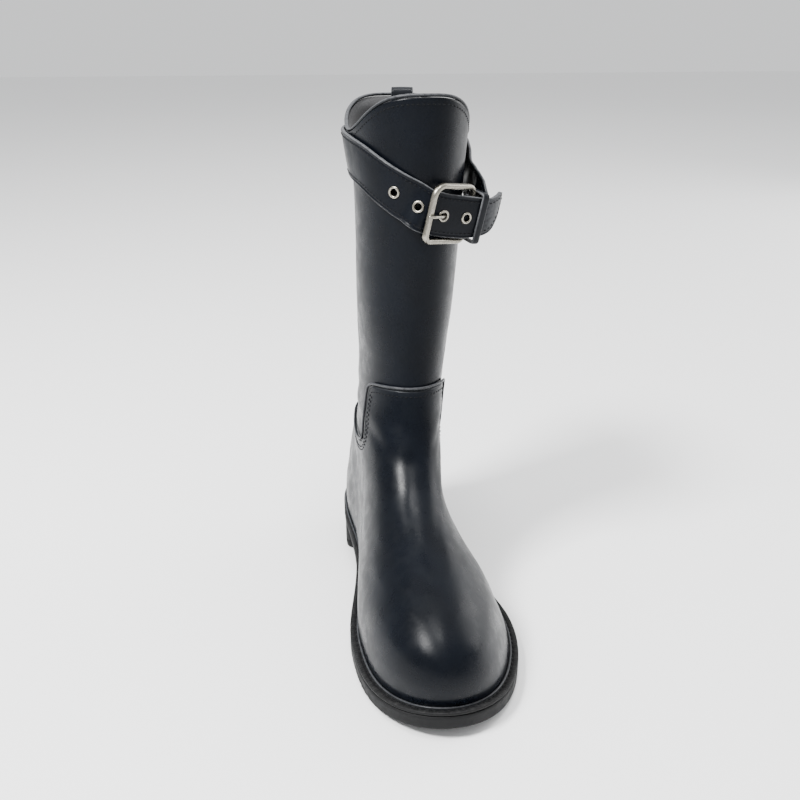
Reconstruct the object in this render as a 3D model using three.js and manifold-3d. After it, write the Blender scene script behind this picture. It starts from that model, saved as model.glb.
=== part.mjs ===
// A tall left boot with a wrap strap and a buckle, standing empty and unbent on its own sole.
// Millimetres, +Z up. The toe points to -Y, +X is the lateral side, and the origin is on the
// floor under the middle of the heel.
import * as THREE from "three";
import Module from "manifold-3d";

const wasm = await Module();
wasm.setup();

// Driving dimensions.
const LENGTH = 281; // outsole, toe to heel
const BALL_WIDTH = 114.5; // outsole across the ball
const HEEL_HEIGHT = 40; // floor to the seat of the heel
const INSTEP_HEIGHT = 102; // floor to the front of the instep
const BOOT_HEIGHT = 357; // floor to the front of the collar, with its binding
const TOE_SPRING = 9;
const SOLE_THICKNESS = 12.5; // welt and outsole together, under the ball
const WALL = 2.5; // leather and lining
const PANEL_STEP = 1.3; // how far the foot panel stands out from the shaft
const GAP = 0.3; // clearance between neighbouring pieces
const WELT_THICKNESS = 2.6;
const WELT_MARGIN = 7.6; // sole edge outside the upper, at the forefoot
const SEAT_MARGIN = 3.6; // the same at the heel
const WELT_INSIDE = 6; // how far the welt reaches under the insole
const INSOLE_THICKNESS = 3;
const INSOLE_CLEARANCE = 1.6; // insole edge to the inside of the upper
const SOLE_BEVEL = 0.9;
const WELT_BEVEL = 0.4;
const ARCH_THINNING = 3.5; // outsole lost under the waist
const SEAT_THINNING = 3;
const HEEL_LENGTH = 61; // breast to the back of the heel
const BREAST_BOW = 4;
const BREAST_CORNER = 10; // radius in plan
const HEEL_TAPER = 1.5;
const GROOVE_DEPTH = 2;
const GROOVE_WIDTH = 3;
const GROOVE_PITCH = 13;
const FOREFOOT_GROOVES = 6;
const HEEL_GROOVES = 3;
const PIPING_RADIUS = 0.95;
const BINDING_RADIUS = 1.1;
const TAB_WIDTH = 16;
const TAB_THICKNESS = 1.6;
const TAB_LENGTH = 15; // leg of the pull tab below the rim
const TAB_RISE = 5.5; // top of the pull tab above the rim
const TAB_ANGLE = 170; // degrees from the front
const TAB_CLEARANCE = 1.3; // the flat tab off the round rim
const TAB_BEVEL = 0.4;
const STRAP_WIDTH = 28.5; // at the buckle
const STRAP_FLARE = 3; // added to each edge at the back
const STRAP_THICKNESS = 2.4;
const STRAP_BEVEL = 0.5;
const STRAP_STANDOFF = 1; // strap to the shaft
const BUCKLE_STANDOFF = 3.8; // the same under the buckle, where the prong needs room
const TIP_LENGTH = 40;
const TIP_DROP = 2.5; // the upper edge comes down at the tip
const TIP_WIDTH = 4; // blunt end of the tip
const KEEPER_WIDTH = 5.5;
const KEEPER_THICKNESS = 1.6;
const FRAME_LENGTH = 36; // buckle, between the middles of its end bars
const FRAME_INSIDE = 32; // clear height inside the buckle
const FRAME_LIFT = 1; // the strap lies nearer the lower side
const BAR_RADIUS = 2.2;
const FRAME_CORNER = 5;
const CHAPE_THICKNESS = 2;
const CHAPE_NARROWING = 1.6; // off each edge where the chape wraps the bar
const CHAPE_TAPER = 30; // length over which it narrows
const CHAPE_FOLD = 8; // folded end behind the bar
const PRONG_RADIUS = 1.05;
const PRONG_OVERHANG = 2.5; // prong tip past the middle of the front bar
const PRONG_DIP = 0.8; // lowest part of the prong, under the strap
const EYELET_PITCH = 18.3;
const EYELET_HOLE = 2.35; // radius
const EYELET_BARREL = 2.85; // radius
const EYELET_FLANGE = 4; // radius
const EYELET_RISE = 0.7;
const EYELET_ROUND = 0.5; // rounding of the flange

// Colours.
const LEATHER = 0x262a30;
const TRIM = 0x2f3339;
const RUBBER = 0x161718;
const METAL = 0xa9a496;
const SOCK = 0x6d6d6f;

// The last: sections from the feather edge (first) to the collar (last).
// frontY and backY are shares of LENGTH. frontFoot and backFoot are shares of the instep's rise,
// frontShaft and backShaft of the shaft's height. toe to back are half-widths along the ring, and
// shift moves it sideways, as shares of BALL_WIDTH. sole is how far the ring follows the sole's
// curve, dip how far its sides drop, as a share of the shaft, and swing how far it follows the
// last's centre line.
const COLUMNS = [
  "frontY", "frontFoot", "frontShaft", "backY", "backFoot", "backShaft",
  "toe", "ball", "waist", "seat", "back", "sole", "dip", "shift", "swing",
];
const SECTIONS = [
  [-0.839, 0, 0, 0.122, 0, 0, 0.567, 0.465, 0.308, 0.394, 0.536, 1, 0, 0, 1],
  [-0.848, 0.12, 0, 0.128, 0.1, 0, 0.554, 0.458, 0.314, 0.38, 0.517, 1, 0, -0.013, 1],
  [-0.846, 0.27, 0, 0.135, 0.21, 0, 0.519, 0.432, 0.303, 0.347, 0.471, 1, 0, -0.03, 1],
  [-0.821, 0.415, 0, 0.14, 0.33, 0, 0.459, 0.389, 0.276, 0.305, 0.409, 0.85, 0, -0.044, 1],
  [-0.762, 0.537, 0, 0.141, 0.463, 0, 0.37, 0.319, 0.245, 0.271, 0.356, 0.7, 0, -0.053, 0.9],
  [-0.664, 0.65, 0, 0.136, 0.61, 0, 0.293, 0.259, 0.223, 0.243, 0.314, 0.5, 0, -0.053, 0.75],
  [-0.542, 0.79, 0, 0.128, 0.78, 0, 0.257, 0.233, 0.217, 0.229, 0.287, 0.3, 0, -0.04, 0.5],
  [-0.429, 1, 0, 0.124, 0.96, 0, 0.262, 0.241, 0.231, 0.235, 0.273, 0.1, 0, -0.015, 0.25],
  [-0.345, 1, 0.1, 0.127, 0.96, 0.07, 0.281, 0.258, 0.244, 0.239, 0.263, 0, 0, 0.018, 0],
  [-0.3, 1, 0.234, 0.133, 0.96, 0.184, 0.289, 0.268, 0.255, 0.244, 0.26, 0, 0, 0.048, 0],
  [-0.283, 1, 0.425, 0.143, 0.96, 0.364, 0.318, 0.303, 0.285, 0.276, 0.289, 0, 0, 0.074, 0],
  [-0.282, 1, 0.628, 0.15, 0.96, 0.559, 0.334, 0.323, 0.304, 0.307, 0.317, 0, 0.008, 0.095, 0],
  [-0.289, 1, 0.835, 0.153, 0.96, 0.743, 0.349, 0.336, 0.325, 0.345, 0.359, 0, 0.034, 0.104, 0],
  [-0.296, 1, 1, 0.157, 0.96, 0.904, 0.379, 0.356, 0.364, 0.398, 0.423, 0, 0.088, 0.106, 0],
];
const STATIONS = [0, 0.3, 0.6, 0.82, 1]; // where toe to back sit along a ring
const DIP_POWER = 3.5;

// The last's centre line: shares of LENGTH, then of BALL_WIDTH.
const CENTRE_LINE = [
  [-0.907, 0.007], [-0.75, 0.015], [-0.575, 0.043], [-0.384, 0.046],
  [-0.209, 0.031], [-0.07, 0.009], [0.209, 0.0],
];
// Where the sole's top starts to spring and to climb, as shares of LENGTH.
const SPRING_START = -0.66;
const SPRING_END = -0.87;
const CLIMB_START = -0.45;
const CLIMB_END = 0.02;
const BREAST_FADE = 0.12; // share of LENGTH over which the sole thins at the waist and the seat

// Top edge of the foot panel: angle from the front in degrees, share of BOOT_HEIGHT.
const PANEL_EDGE = [
  [0, 0.454], [25, 0.453], [45, 0.448], [55, 0.441], [60, 0.425], [65, 0.375],
  [70, 0.338], [80, 0.316], [105, 0.303], [140, 0.303], [180, 0.308],
];
// Rings of the grid in degrees from the front, closer together where the panel's edge turns.
const HALF_RING = [
  0, 9, 18, 27, 36, 45, 51, 56, 60, 63, 66, 70, 76, 84, 94, 104, 114, 125, 136, 147, 158, 169, 180,
];
const FOOT_ROWS = 20;
const SHAFT_ROWS = 13;
const STEP_RUN = 0.002; // share of the whole height over which the panel's edge drops
const INNER_STRIDE = 3; // rows of the outside for each row of the inside, on the foot
const SHAFT_STRIDE = 2; // the same on the shaft
const ACROSS = 6; // cells across the soles
const HEEL_ROWS = [0, 1.5, 4, 8, 14, 22]; // rows of the heel, from its breast
const FLARE_SHARE = 0.55; // share of a strap over which its flare fades
const BILLET_STEPS = 3; // rings of a strap between two places of its route
const CHAPE_STEPS = 2;
const BAR_STEPS = 10;
const FRAME_SIDES = 8;
const CORNER_STEPS = 3;
const PRONG_SIDES = 8;
const PRONG_RING_STEPS = 14;
const PRONG_RING_SIDES = 6;
const PIPING_SIDES = 6;
const TAB_STEPS = 6;
const EYELET_SIDES = 14;
const HALVINGS = 40; // of a bracket, when a place is searched
const STEP = 1e-3; // for slopes of the surface
const CUT_MARGIN = 1; // how far a cut reaches past what it cuts

// The strap's middle where it lies on the shaft: degrees from the front (medial is negative),
// share of BOOT_HEIGHT.
const BILLET_ROUTE = [
  [-177, 0.878], [-164, 0.879], [-150, 0.88], [-128, 0.882], [-108, 0.883], [-90, 0.882], [-75, 0.878],
  [-59, 0.87], [-45, 0.856], [-34, 0.843], [-22, 0.829], [-12, 0.818],
];
// The same for the chape, with the extra standoff of its free loop as a share of STRAP_WIDTH.
const CHAPE_ROUTE = [
  [179, 0.878, 0], [167, 0.878, 0], [154, 0.878, 0.028], [138, 0.876, 0.14], [124, 0.873, 0.246],
  [111, 0.867, 0.263], [99, 0.858, 0.175], [89, 0.843, 0.123], [79, 0.832, 0.105], [68, 0.822, 0.211],
];
const BUCKLE_ANGLE = 8; // where the strap leaves the shaft, degrees from the front
const BUCKLE_LEVEL = 0.795; // share of BOOT_HEIGHT
const BUCKLE_DROP = 10; // degrees that the strap goes down along its length, at the buckle
const BUCKLE_LEAN = 7; // degrees that the buckle's upper side leans out
const BUCKLE_TURN = 7; // degrees that the strap turns in from the shaft's tangent
const BUCKLE_OFFSET = 12; // from that place to the middle of the buckle
const PRONG_EYE = -6; // where the prong comes up, from the middle of the buckle
// The billet inside the buckle: along the strap, up and out, as shares of FRAME_LENGTH.
const BUCKLE_ROUTE = [
  [-0.556, 0.05, -0.033], [-0.333, 0.019, -0.006], [-0.111, 0, 0], [0.222, 0, 0], [0.5, 0, 0],
  [0.75, 0, 0],
];
// The billet's tail and the chape behind the buckle: along the strap, up and out as shares of
// FRAME_LENGTH, then degrees turned.
const BILLET_TAIL = [
  [0.861, 0.022, 0.025, 8], [1, 0.078, -0.028, 22], [1.125, 0.144, -0.111, 33],
  [1.222, 0.211, -0.208, 42],
];
const CHAPE_TAIL = [
  [0.833, 0.319, -0.5, 84], [0.833, 0.153, -0.319, 84], [0.814, 0.042, -0.139, 64],
];
// The chape's straight run through the keeper, from the middle of the bar, in the same shares.
const CHAPE_RUN = [0.264, 0.167, 0.056];

// Small helpers.
const clamp = (value, low, high) => Math.min(Math.max(value, low), high);
const mix = (a, b, share) => a + (b - a) * share;
const smooth = (value) => {
  const u = clamp(value, 0, 1);
  return u * u * (3 - 2 * u);
};
const radians = THREE.MathUtils.degToRad;

// Smooth curve through rows of numbers; x is the place between the first row and the last.
function through(rows, x) {
  const last = rows.length - 1;
  const i = Math.min(Math.floor(x), last - 1);
  const u = x - i;
  const before = rows[Math.max(i - 1, 0)];
  const after = rows[Math.min(i + 2, last)];
  return rows[i].map((p1, k) => {
    const p2 = rows[i + 1][k];
    const p0 = i === 0 ? 2 * p1 - p2 : before[k];
    const p3 = i === last - 1 ? 2 * p2 - p1 : after[k];
    return 0.5 * (2 * p1 + (p2 - p0) * u + (2 * p0 - 5 * p1 + 4 * p2 - p3) * u * u
      + (3 * p1 - p0 - 3 * p2 + p3) * u * u * u);
  });
}

// Smooth curve through values at uneven places.
function along(places, values, x) {
  const last = places.length - 1;
  let i = 0;
  while (i < last - 1 && x > places[i + 1]) i += 1;
  const slope = (k) => {
    const a = Math.max(k - 1, 0);
    const b = Math.min(k + 1, last);
    return (values[b] - values[a]) / (places[b] - places[a]);
  };
  const h = places[i + 1] - places[i];
  const u = clamp((x - places[i]) / h, 0, 1);
  const v = 1 - u;
  return values[i] * v * v * (1 + 2 * u) + values[i + 1] * u * u * (3 - 2 * u)
    + h * u * v * (slope(i) * v - slope(i + 1) * u);
}

const table = (pairs, x) => along(pairs.map((p) => p[0]), pairs.map((p) => p[1]), x);

// The sole's curves.
const centreLine = (y) => BALL_WIDTH * table(CENTRE_LINE, y / LENGTH);

function soleTop(y) {
  const share = y / LENGTH;
  const spring = clamp((share - SPRING_START) / (SPRING_END - SPRING_START), 0, 2) ** 2;
  const climb = smooth((share - CLIMB_START) / (CLIMB_END - CLIMB_START));
  return SOLE_THICKNESS + TOE_SPRING * spring + (HEEL_HEIGHT - SOLE_THICKNESS) * climb;
}

const HEEL_BACK = 0.135 * LENGTH;
const BREAST_Y = HEEL_BACK - HEEL_LENGTH;

function soleBottom(y) {
  const waist = smooth((y / LENGTH - CLIMB_START) / BREAST_FADE);
  const seat = smooth((y - BREAST_Y) / (BREAST_FADE * LENGTH));
  return soleTop(y) - SOLE_THICKNESS + ARCH_THINNING * waist + (SEAT_THINNING - ARCH_THINNING) * seat;
}

// The upper's surface: t from the feather edge 0 to the collar 1, a round it in radians.
const TOE_FEATHER = soleTop(SECTIONS[0][0] * LENGTH);
const SEAT_FEATHER = soleTop(SECTIONS[0][3] * LENGTH);
const INSTEP_RISE = INSTEP_HEIGHT - TOE_FEATHER;
const RIM_HEIGHT = BOOT_HEIGHT - 2 * BINDING_RADIUS - GAP;
const SHAFT_RISE = RIM_HEIGHT - INSTEP_HEIGHT;

function boot(t, a) {
  const values = through(SECTIONS, clamp(t, 0, 1) * (SECTIONS.length - 1));
  const row = Object.fromEntries(COLUMNS.map((name, k) => [name, values[k]]));
  const s = (1 - Math.cos(a)) / 2;
  const frontY = row.frontY * LENGTH;
  const backY = row.backY * LENGTH;
  const y = mix(frontY, backY, s);
  const frontZ = TOE_FEATHER + row.frontFoot * INSTEP_RISE + row.frontShaft * SHAFT_RISE;
  const backZ = SEAT_FEATHER + row.backFoot * INSTEP_RISE + row.backShaft * SHAFT_RISE;
  const sag = soleTop(y) - mix(soleTop(frontY), soleTop(backY), s);
  const dip = row.dip * SHAFT_RISE * Math.abs(Math.sin(a)) ** DIP_POWER;
  const halves = [row.toe, row.ball, row.waist, row.seat, row.back];
  const half = BALL_WIDTH * along(STATIONS, halves, s);
  const x = half * Math.sin(a) + row.swing * centreLine(y) + row.shift * BALL_WIDTH;
  return new THREE.Vector3(x, y, mix(frontZ, backZ, s) + row.sole * sag - dip + GAP);
}

function outward(t, a) {
  const t0 = clamp(t, STEP, 1 - STEP);
  const up = boot(t0 + STEP, a).sub(boot(t0 - STEP, a));
  const round = boot(t0, a + STEP).sub(boot(t0, a - STEP));
  return round.cross(up).normalize();
}

// The surface moved out by offset; its lowest edge stays on the sole.
function skin(t, a, offset) {
  const p = boot(t, a).addScaledVector(outward(t, a), offset);
  if (t === 0) p.z = soleTop(p.y) + GAP;
  return p;
}

// The place between low and high where a test turns from true to false.
function turningPoint(low, high, test) {
  let [start, end] = [low, high];
  for (let i = 0; i < HALVINGS; i += 1) {
    const middle = (start + end) / 2;
    if (test(middle)) start = middle;
    else end = middle;
  }
  return (start + end) / 2;
}

// The t at which the upper reaches height z on the line a.
const levelAt = (a, z) => turningPoint(0, 1, (t) => boot(t, a).z < z);

const panelEdge = (a) => {
  const degrees = Math.abs(THREE.MathUtils.radToDeg(a));
  return levelAt(a, BOOT_HEIGHT * table(PANEL_EDGE, degrees));
};

const RING = [...HALF_RING, ...HALF_RING.slice(1, -1).reverse().map((d) => d - 2 * d)].map(radians);

// Closed bodies.
const part = new THREE.Group();
part.name = "buckle_boot";

const material = (color, roughness, metalness) =>
  new THREE.MeshStandardMaterial({ color, roughness, metalness });

// Welds equal corners, drops flat triangles and turns the body outwards.
function weld(points, triangles) {
  const index = new Map();
  const corners = [];
  const renamed = points.map((p) => {
    const key = [p.x, p.y, p.z].map((v) => Math.round(v * 1e4)).join(",");
    if (!index.has(key)) {
      index.set(key, corners.length);
      corners.push(p);
    }
    return index.get(key);
  });
  const faces = triangles
    .map((face) => face.map((k) => renamed[k]))
    .filter(([a, b, c]) => a !== b && b !== c && c !== a);
  const volume = faces.reduce((sum, [a, b, c]) =>
    sum + corners[a].dot(new THREE.Vector3().crossVectors(corners[b], corners[c])), 0);
  return { corners, faces: volume < 0 ? faces.map(([a, b, c]) => [a, c, b]) : faces };
}

function toManifold({ corners, faces }) {
  return new wasm.Manifold(new wasm.Mesh({
    numProp: 3,
    vertProperties: Float32Array.from(corners.flatMap((p) => [p.x, p.y, p.z])),
    triVerts: Uint32Array.from(faces.flat()),
  }));
}

function fromManifold(body) {
  const mesh = body.getMesh();
  const corners = [];
  for (let i = 0; i < mesh.numVert; i += 1) {
    const at = i * mesh.numProp;
    corners.push(new THREE.Vector3(...mesh.vertProperties.slice(at, at + 3)));
  }
  const faces = [];
  for (let i = 0; i < mesh.numTri; i += 1) faces.push([...mesh.triVerts.slice(3 * i, 3 * i + 3)]);
  return { corners, faces };
}

function add(name, shape, look) {
  const geometry = new THREE.BufferGeometry();
  const flat = shape.corners.flatMap((p) => [p.x, p.y, p.z]);
  geometry.setAttribute("position", new THREE.Float32BufferAttribute(flat, 3));
  geometry.setIndex(shape.faces.flat());
  geometry.computeVertexNormals();
  const mesh = new THREE.Mesh(geometry, look);
  mesh.name = name;
  part.add(mesh);
  return mesh;
}

// A body from rings of equal length: the sides between neighbours, and both ends closed by a fan
// unless the rings return to the first.
function loft(rings, returns = false) {
  const n = rings[0].length;
  const points = rings.flat();
  const triangles = [];
  const pairs = returns ? rings.length : rings.length - 1;
  for (let r = 0; r < pairs; r += 1) {
    const next = (r + 1) % rings.length;
    for (let i = 0; i < n; i += 1) {
      const j = (i + 1) % n;
      const [a, b, c, d] = [r * n + i, r * n + j, next * n + j, next * n + i];
      triangles.push([a, b, c], [a, c, d]);
    }
  }
  if (!returns) {
    for (const [start, flip] of [[0, true], [(rings.length - 1) * n, false]]) {
      for (let i = 1; i < n - 1; i += 1) {
        triangles.push(flip ? [start, start + i + 1, start + i] : [start, start + i, start + i + 1]);
      }
    }
  }
  return weld(points, triangles);
}

// A plate from levels of equal grids: the first and last grids are its faces, and the borders of
// all of them make its edge.
function plate(levels) {
  const rows = levels[0].length;
  const columns = levels[0][0].length;
  const size = rows * columns;
  const points = levels.flatMap((grid) => grid.flat());
  const triangles = [];
  const face = (level, flip) => {
    for (let i = 0; i < rows - 1; i += 1) {
      for (let j = 0; j < columns - 1; j += 1) {
        const a = level * size + i * columns + j;
        const quad = [[a, a + 1, a + columns + 1], [a, a + columns + 1, a + columns]];
        triangles.push(...quad.map(([p, q, r]) => (flip ? [p, r, q] : [p, q, r])));
      }
    }
  };
  face(0, false);
  face(levels.length - 1, true);
  const border = [];
  for (let j = 0; j < columns; j += 1) border.push(j);
  for (let i = 1; i < rows; i += 1) border.push(i * columns + columns - 1);
  for (let j = columns - 2; j >= 0; j -= 1) border.push((rows - 1) * columns + j);
  for (let i = rows - 2; i >= 1; i -= 1) border.push(i * columns);
  for (let level = 0; level < levels.length - 1; level += 1) {
    border.forEach((from, k) => {
      const to = border[(k + 1) % border.length];
      const [a, b] = [level * size + from, level * size + to];
      triangles.push([a, a + size, b + size], [a, b + size, b]);
    });
  }
  return weld(points, triangles);
}

// Upper.
function upperShell() {
  const rows = [];
  const edges = RING.map(panelEdge);
  for (let i = 0; i <= FOOT_ROWS; i += 1) {
    rows.push(RING.map((a, k) => skin((edges[k] * i) / FOOT_ROWS, a, PANEL_STEP)));
  }
  for (let i = 0; i <= SHAFT_ROWS; i += 1) {
    rows.push(RING.map((a, k) => skin(mix(edges[k] + STEP_RUN, 1, i / SHAFT_ROWS), a, 0)));
  }
  const inner = [];
  for (let i = 0; i < FOOT_ROWS; i += INNER_STRIDE) {
    inner.push(RING.map((a, k) => skin((edges[k] * i) / FOOT_ROWS, a, -WALL)));
  }
  for (let i = 0; i < SHAFT_ROWS; i += SHAFT_STRIDE) {
    inner.push(RING.map((a, k) => skin(mix(edges[k], 1, i / SHAFT_ROWS), a, -WALL)));
  }
  inner.push(RING.map((a) => skin(1, a, -WALL)));
  return loft([...rows, ...inner.reverse()], true);
}

// Soles: grids between matched lateral and medial points of the feather edge.
function featherPoint(a, margin) {
  const p = boot(0, a);
  const forward = boot(0, a + STEP).sub(boot(0, a - STEP));
  const out = new THREE.Vector2(forward.y, -forward.x).normalize();
  return new THREE.Vector2(p.x, p.y).addScaledVector(out, margin);
}

const edgeMargin = (a) => {
  const share = smooth((boot(0, a).y / LENGTH - CLIMB_START) / -CLIMB_START);
  return mix(WELT_MARGIN, SEAT_MARGIN, share);
};

const SOLE_RING = HALF_RING.map(radians);
const INSOLE_MARGIN = -WALL - INSOLE_CLEARANCE;

// A row of cells from the medial point to the lateral one.
function rowAcross(medial, lateral, height, shape = () => 0) {
  const row = [];
  for (let j = 0; j <= ACROSS; j += 1) {
    const p = medial.clone().lerp(lateral, j / ACROSS);
    const y = p.y + shape(j / ACROSS);
    row.push(new THREE.Vector3(p.x, y, height(y)));
  }
  return row;
}

const soleGrid = (inset, height) => SOLE_RING.map((a) => rowAcross(
  featherPoint(-a, edgeMargin(-a) - inset), featherPoint(a, edgeMargin(a) - inset), height));

const outsoleTop = (y) => soleTop(y) - WELT_THICKNESS - GAP;

// Grooves across the tread, cut from a body.
function grooved(body, first, count, direction) {
  let solid = body;
  for (let i = 0; i < count; i += 1) {
    const middle = first + direction * GROOVE_PITCH * i;
    const corners = [];
    for (const x of [-BALL_WIDTH, BALL_WIDTH]) {
      for (const y of [middle - GROOVE_WIDTH / 2, middle + GROOVE_WIDTH / 2]) corners.push([x, y]);
    }
    const ring = (z) => [0, 1, 3, 2].map((k) => new THREE.Vector3(...corners[k], z));
    solid = solid.subtract(toManifold(loft([ring(-CUT_MARGIN), ring(GROOVE_DEPTH)])));
  }
  return solid;
}

function outsole() {
  const body = plate([
    soleGrid(SOLE_BEVEL, outsoleTop),
    soleGrid(0, (y) => outsoleTop(y) - SOLE_BEVEL),
    soleGrid(0, (y) => soleBottom(y) + SOLE_BEVEL),
    soleGrid(SOLE_BEVEL, soleBottom),
  ]);
  return grooved(toManifold(body), CLIMB_START * LENGTH - GROOVE_PITCH / 2, FOREFOOT_GROOVES, -1);
}

// The heel's plan: the sole's own edge, with rounded corners at the breast.
function heelRow(y, inset, height) {
  const fromBreast = y - BREAST_Y;
  const run = clamp(BREAST_CORNER - fromBreast, 0, BREAST_CORNER);
  const corner = BREAST_CORNER - Math.sqrt(BREAST_CORNER ** 2 - run ** 2);
  const edge = (side) => {
    const test = (a) => featherPoint(side * a, edgeMargin(side * a)).y < y;
    const a = side * turningPoint(Math.PI / 2, Math.PI, test);
    return featherPoint(a, edgeMargin(a) - corner - inset).setY(y);
  };
  const bow = BREAST_BOW * clamp(1 - fromBreast / HEEL_ROWS.at(-1), 0, 1);
  return rowAcross(edge(-1), edge(1), height, (share) => bow * (1 - (2 * share - 1) ** 2));
}

function heelBlock() {
  const start = BREAST_Y + HEEL_ROWS.at(-1);
  const round = SOLE_RING.filter((a) => featherPoint(a, SEAT_MARGIN).y > start + CUT_MARGIN);
  const grid = (inset, height) => [
    ...HEEL_ROWS.map((run) => heelRow(BREAST_Y + run, inset, height)),
    ...round.map((a) => rowAcross(featherPoint(-a, edgeMargin(-a) - inset),
      featherPoint(a, edgeMargin(a) - inset), height)),
  ];
  const body = plate([
    grid(SOLE_BEVEL, (y) => soleBottom(y) - 2 * GAP),
    grid(SOLE_BEVEL, () => SOLE_BEVEL),
    grid(HEEL_TAPER + SOLE_BEVEL, () => 0),
  ]);
  return grooved(toManifold(body), -GROOVE_PITCH / 2, HEEL_GROOVES, 1);
}

function welt() {
  const ring = [...SOLE_RING, ...SOLE_RING.slice(1, -1).reverse().map((a) => -a)];
  const raised = (p, height) => new THREE.Vector3(p.x, p.y, height(p.y));
  const edge = (inset, height) => ring.map((a) => raised(featherPoint(a, edgeMargin(a) - inset), height));
  const inside = (height) => ring.map((a) => raised(featherPoint(a, -WALL - WELT_INSIDE), height));
  const low = (y) => soleTop(y) - WELT_THICKNESS;
  const half = (y) => soleTop(y) - WELT_THICKNESS / 2;
  return loft([
    edge(WELT_BEVEL, soleTop), edge(0, half), edge(WELT_BEVEL, low), inside(low), inside(soleTop),
  ], true);
}

function insole() {
  const base = (y) => soleTop(y) + GAP;
  const grid = (height) => SOLE_RING.map((a) => rowAcross(
    featherPoint(-a, INSOLE_MARGIN), featherPoint(a, INSOLE_MARGIN), height));
  return plate([grid((y) => base(y) + INSOLE_THICKNESS), grid(base)]);
}

// Tubes and ribbons.
// A tube carried along frames of a middle, a side and an up vector.
function rod(frames, radius, sides, closed) {
  const rings = frames.map(({ at, side, up }) => {
    const ring = [];
    for (let i = 0; i < sides; i += 1) {
      const turn = (2 * Math.PI * i) / sides;
      ring.push(at.clone()
        .addScaledVector(side, radius * Math.cos(turn))
        .addScaledVector(up, radius * Math.sin(turn)));
    }
    return ring;
  });
  return loft(rings, closed);
}

// A flat strap: its middle line, the way its face looks and its half-width at each place.
function ribbon(places, thickness, chamfer) {
  const rings = places.map(({ at, face }, i) => {
    const before = places[Math.max(i - 1, 0)].at;
    const after = places[Math.min(i + 1, places.length - 1)].at;
    const forward = after.clone().sub(before).normalize();
    const normal = face.clone().addScaledVector(forward, -face.dot(forward)).normalize();
    const up = normal.clone().cross(forward).normalize();
    const half = places[i].half;
    const low = places[i].low ?? -half;
    const h = thickness / 2;
    const c = Math.min(chamfer, h);
    const corner = (w, n) => at.clone().addScaledVector(up, w).addScaledVector(normal, n);
    return [
      corner(half - c, h), corner(half, h - c), corner(half, c - h), corner(half - c, -h),
      corner(low + c, -h), corner(low, c - h), corner(low, h - c), corner(low + c, h),
    ];
  });
  return loft(rings);
}

// The buckle's own frame.
const buckleA = radians(BUCKLE_ANGLE);
const touch = skin(levelAt(buckleA, BUCKLE_LEVEL * BOOT_HEIGHT), buckleA, BUCKLE_STANDOFF);
const shaftOut = outward(levelAt(buckleA, BUCKLE_LEVEL * BOOT_HEIGHT), buckleA);
const away = new THREE.Vector3(shaftOut.x, shaftOut.y, 0).normalize()
  .applyAxisAngle(new THREE.Vector3(0, 0, 1), radians(BUCKLE_TURN));
const level = new THREE.Vector3(-away.y, away.x, 0);
const upright = new THREE.Vector3(0, 0, Math.cos(radians(BUCKLE_LEAN)))
  .addScaledVector(away, Math.sin(radians(BUCKLE_LEAN)));
const N = level.clone().cross(upright);
const U = level.clone().applyAxisAngle(N, -radians(BUCKLE_DROP));
const W = N.clone().cross(U);
const origin = touch.clone().addScaledVector(U, BUCKLE_OFFSET);
const local = (u, w, n) => origin.clone()
  .addScaledVector(U, u).addScaledVector(W, w).addScaledVector(N, n);
const buckleShare = (u, w, n) => local(u * FRAME_LENGTH, w * FRAME_LENGTH, n * FRAME_LENGTH);

// Straps.
const onShaft = (degrees, level, offset) => {
  const a = radians(degrees);
  const t = levelAt(a, level * BOOT_HEIGHT);
  return { at: skin(t, a, offset), face: outward(t, a) };
};

// Points of a route joined by a smooth curve, with some rings between each two.
function route(points, steps) {
  const middle = new THREE.CatmullRomCurve3(points.map((p) => p.at), false, "centripetal");
  const spans = points.length - 1;
  const places = [];
  let length = 0;
  for (let i = 0; i <= spans * steps; i += 1) {
    const at = middle.getPoint(i / (spans * steps));
    const k = Math.min(Math.floor(i / steps), spans - 1);
    if (i > 0) length += at.distanceTo(places[i - 1].at);
    const face = points[k].face.clone().lerp(points[k + 1].face, i / steps - k).normalize();
    places.push({ at, face, length });
  }
  return places;
}

const HALF_STRAP = STRAP_WIDTH / 2;
const MID = STRAP_THICKNESS / 2;
function billetPlaces() {
  const points = BILLET_ROUTE.map(([d, level]) => onShaft(d, level, STRAP_STANDOFF + MID));
  for (const [u, w, n] of BUCKLE_ROUTE) {
    points.push({ at: buckleShare(u, w, n).addScaledVector(N, MID), face: N.clone() });
  }
  for (const [u, w, n, turn] of BILLET_TAIL) {
    points.push({ at: buckleShare(u, w, n), face: N.clone().applyAxisAngle(W, radians(turn)) });
  }
  const places = route(points, BILLET_STEPS);
  const total = places[places.length - 1].length;
  for (const place of places) {
    const flare = STRAP_FLARE * (1 - smooth(place.length / (FLARE_SHARE * total)));
    const left = clamp((total - place.length) / TIP_LENGTH, 0, 1);
    const cut = 1 - Math.sqrt(1 - (1 - left) ** 2);
    place.half = HALF_STRAP + flare - TIP_DROP * cut;
    place.low = mix(-HALF_STRAP - flare, place.half - TIP_WIDTH, cut);
  }
  return places;
}

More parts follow.
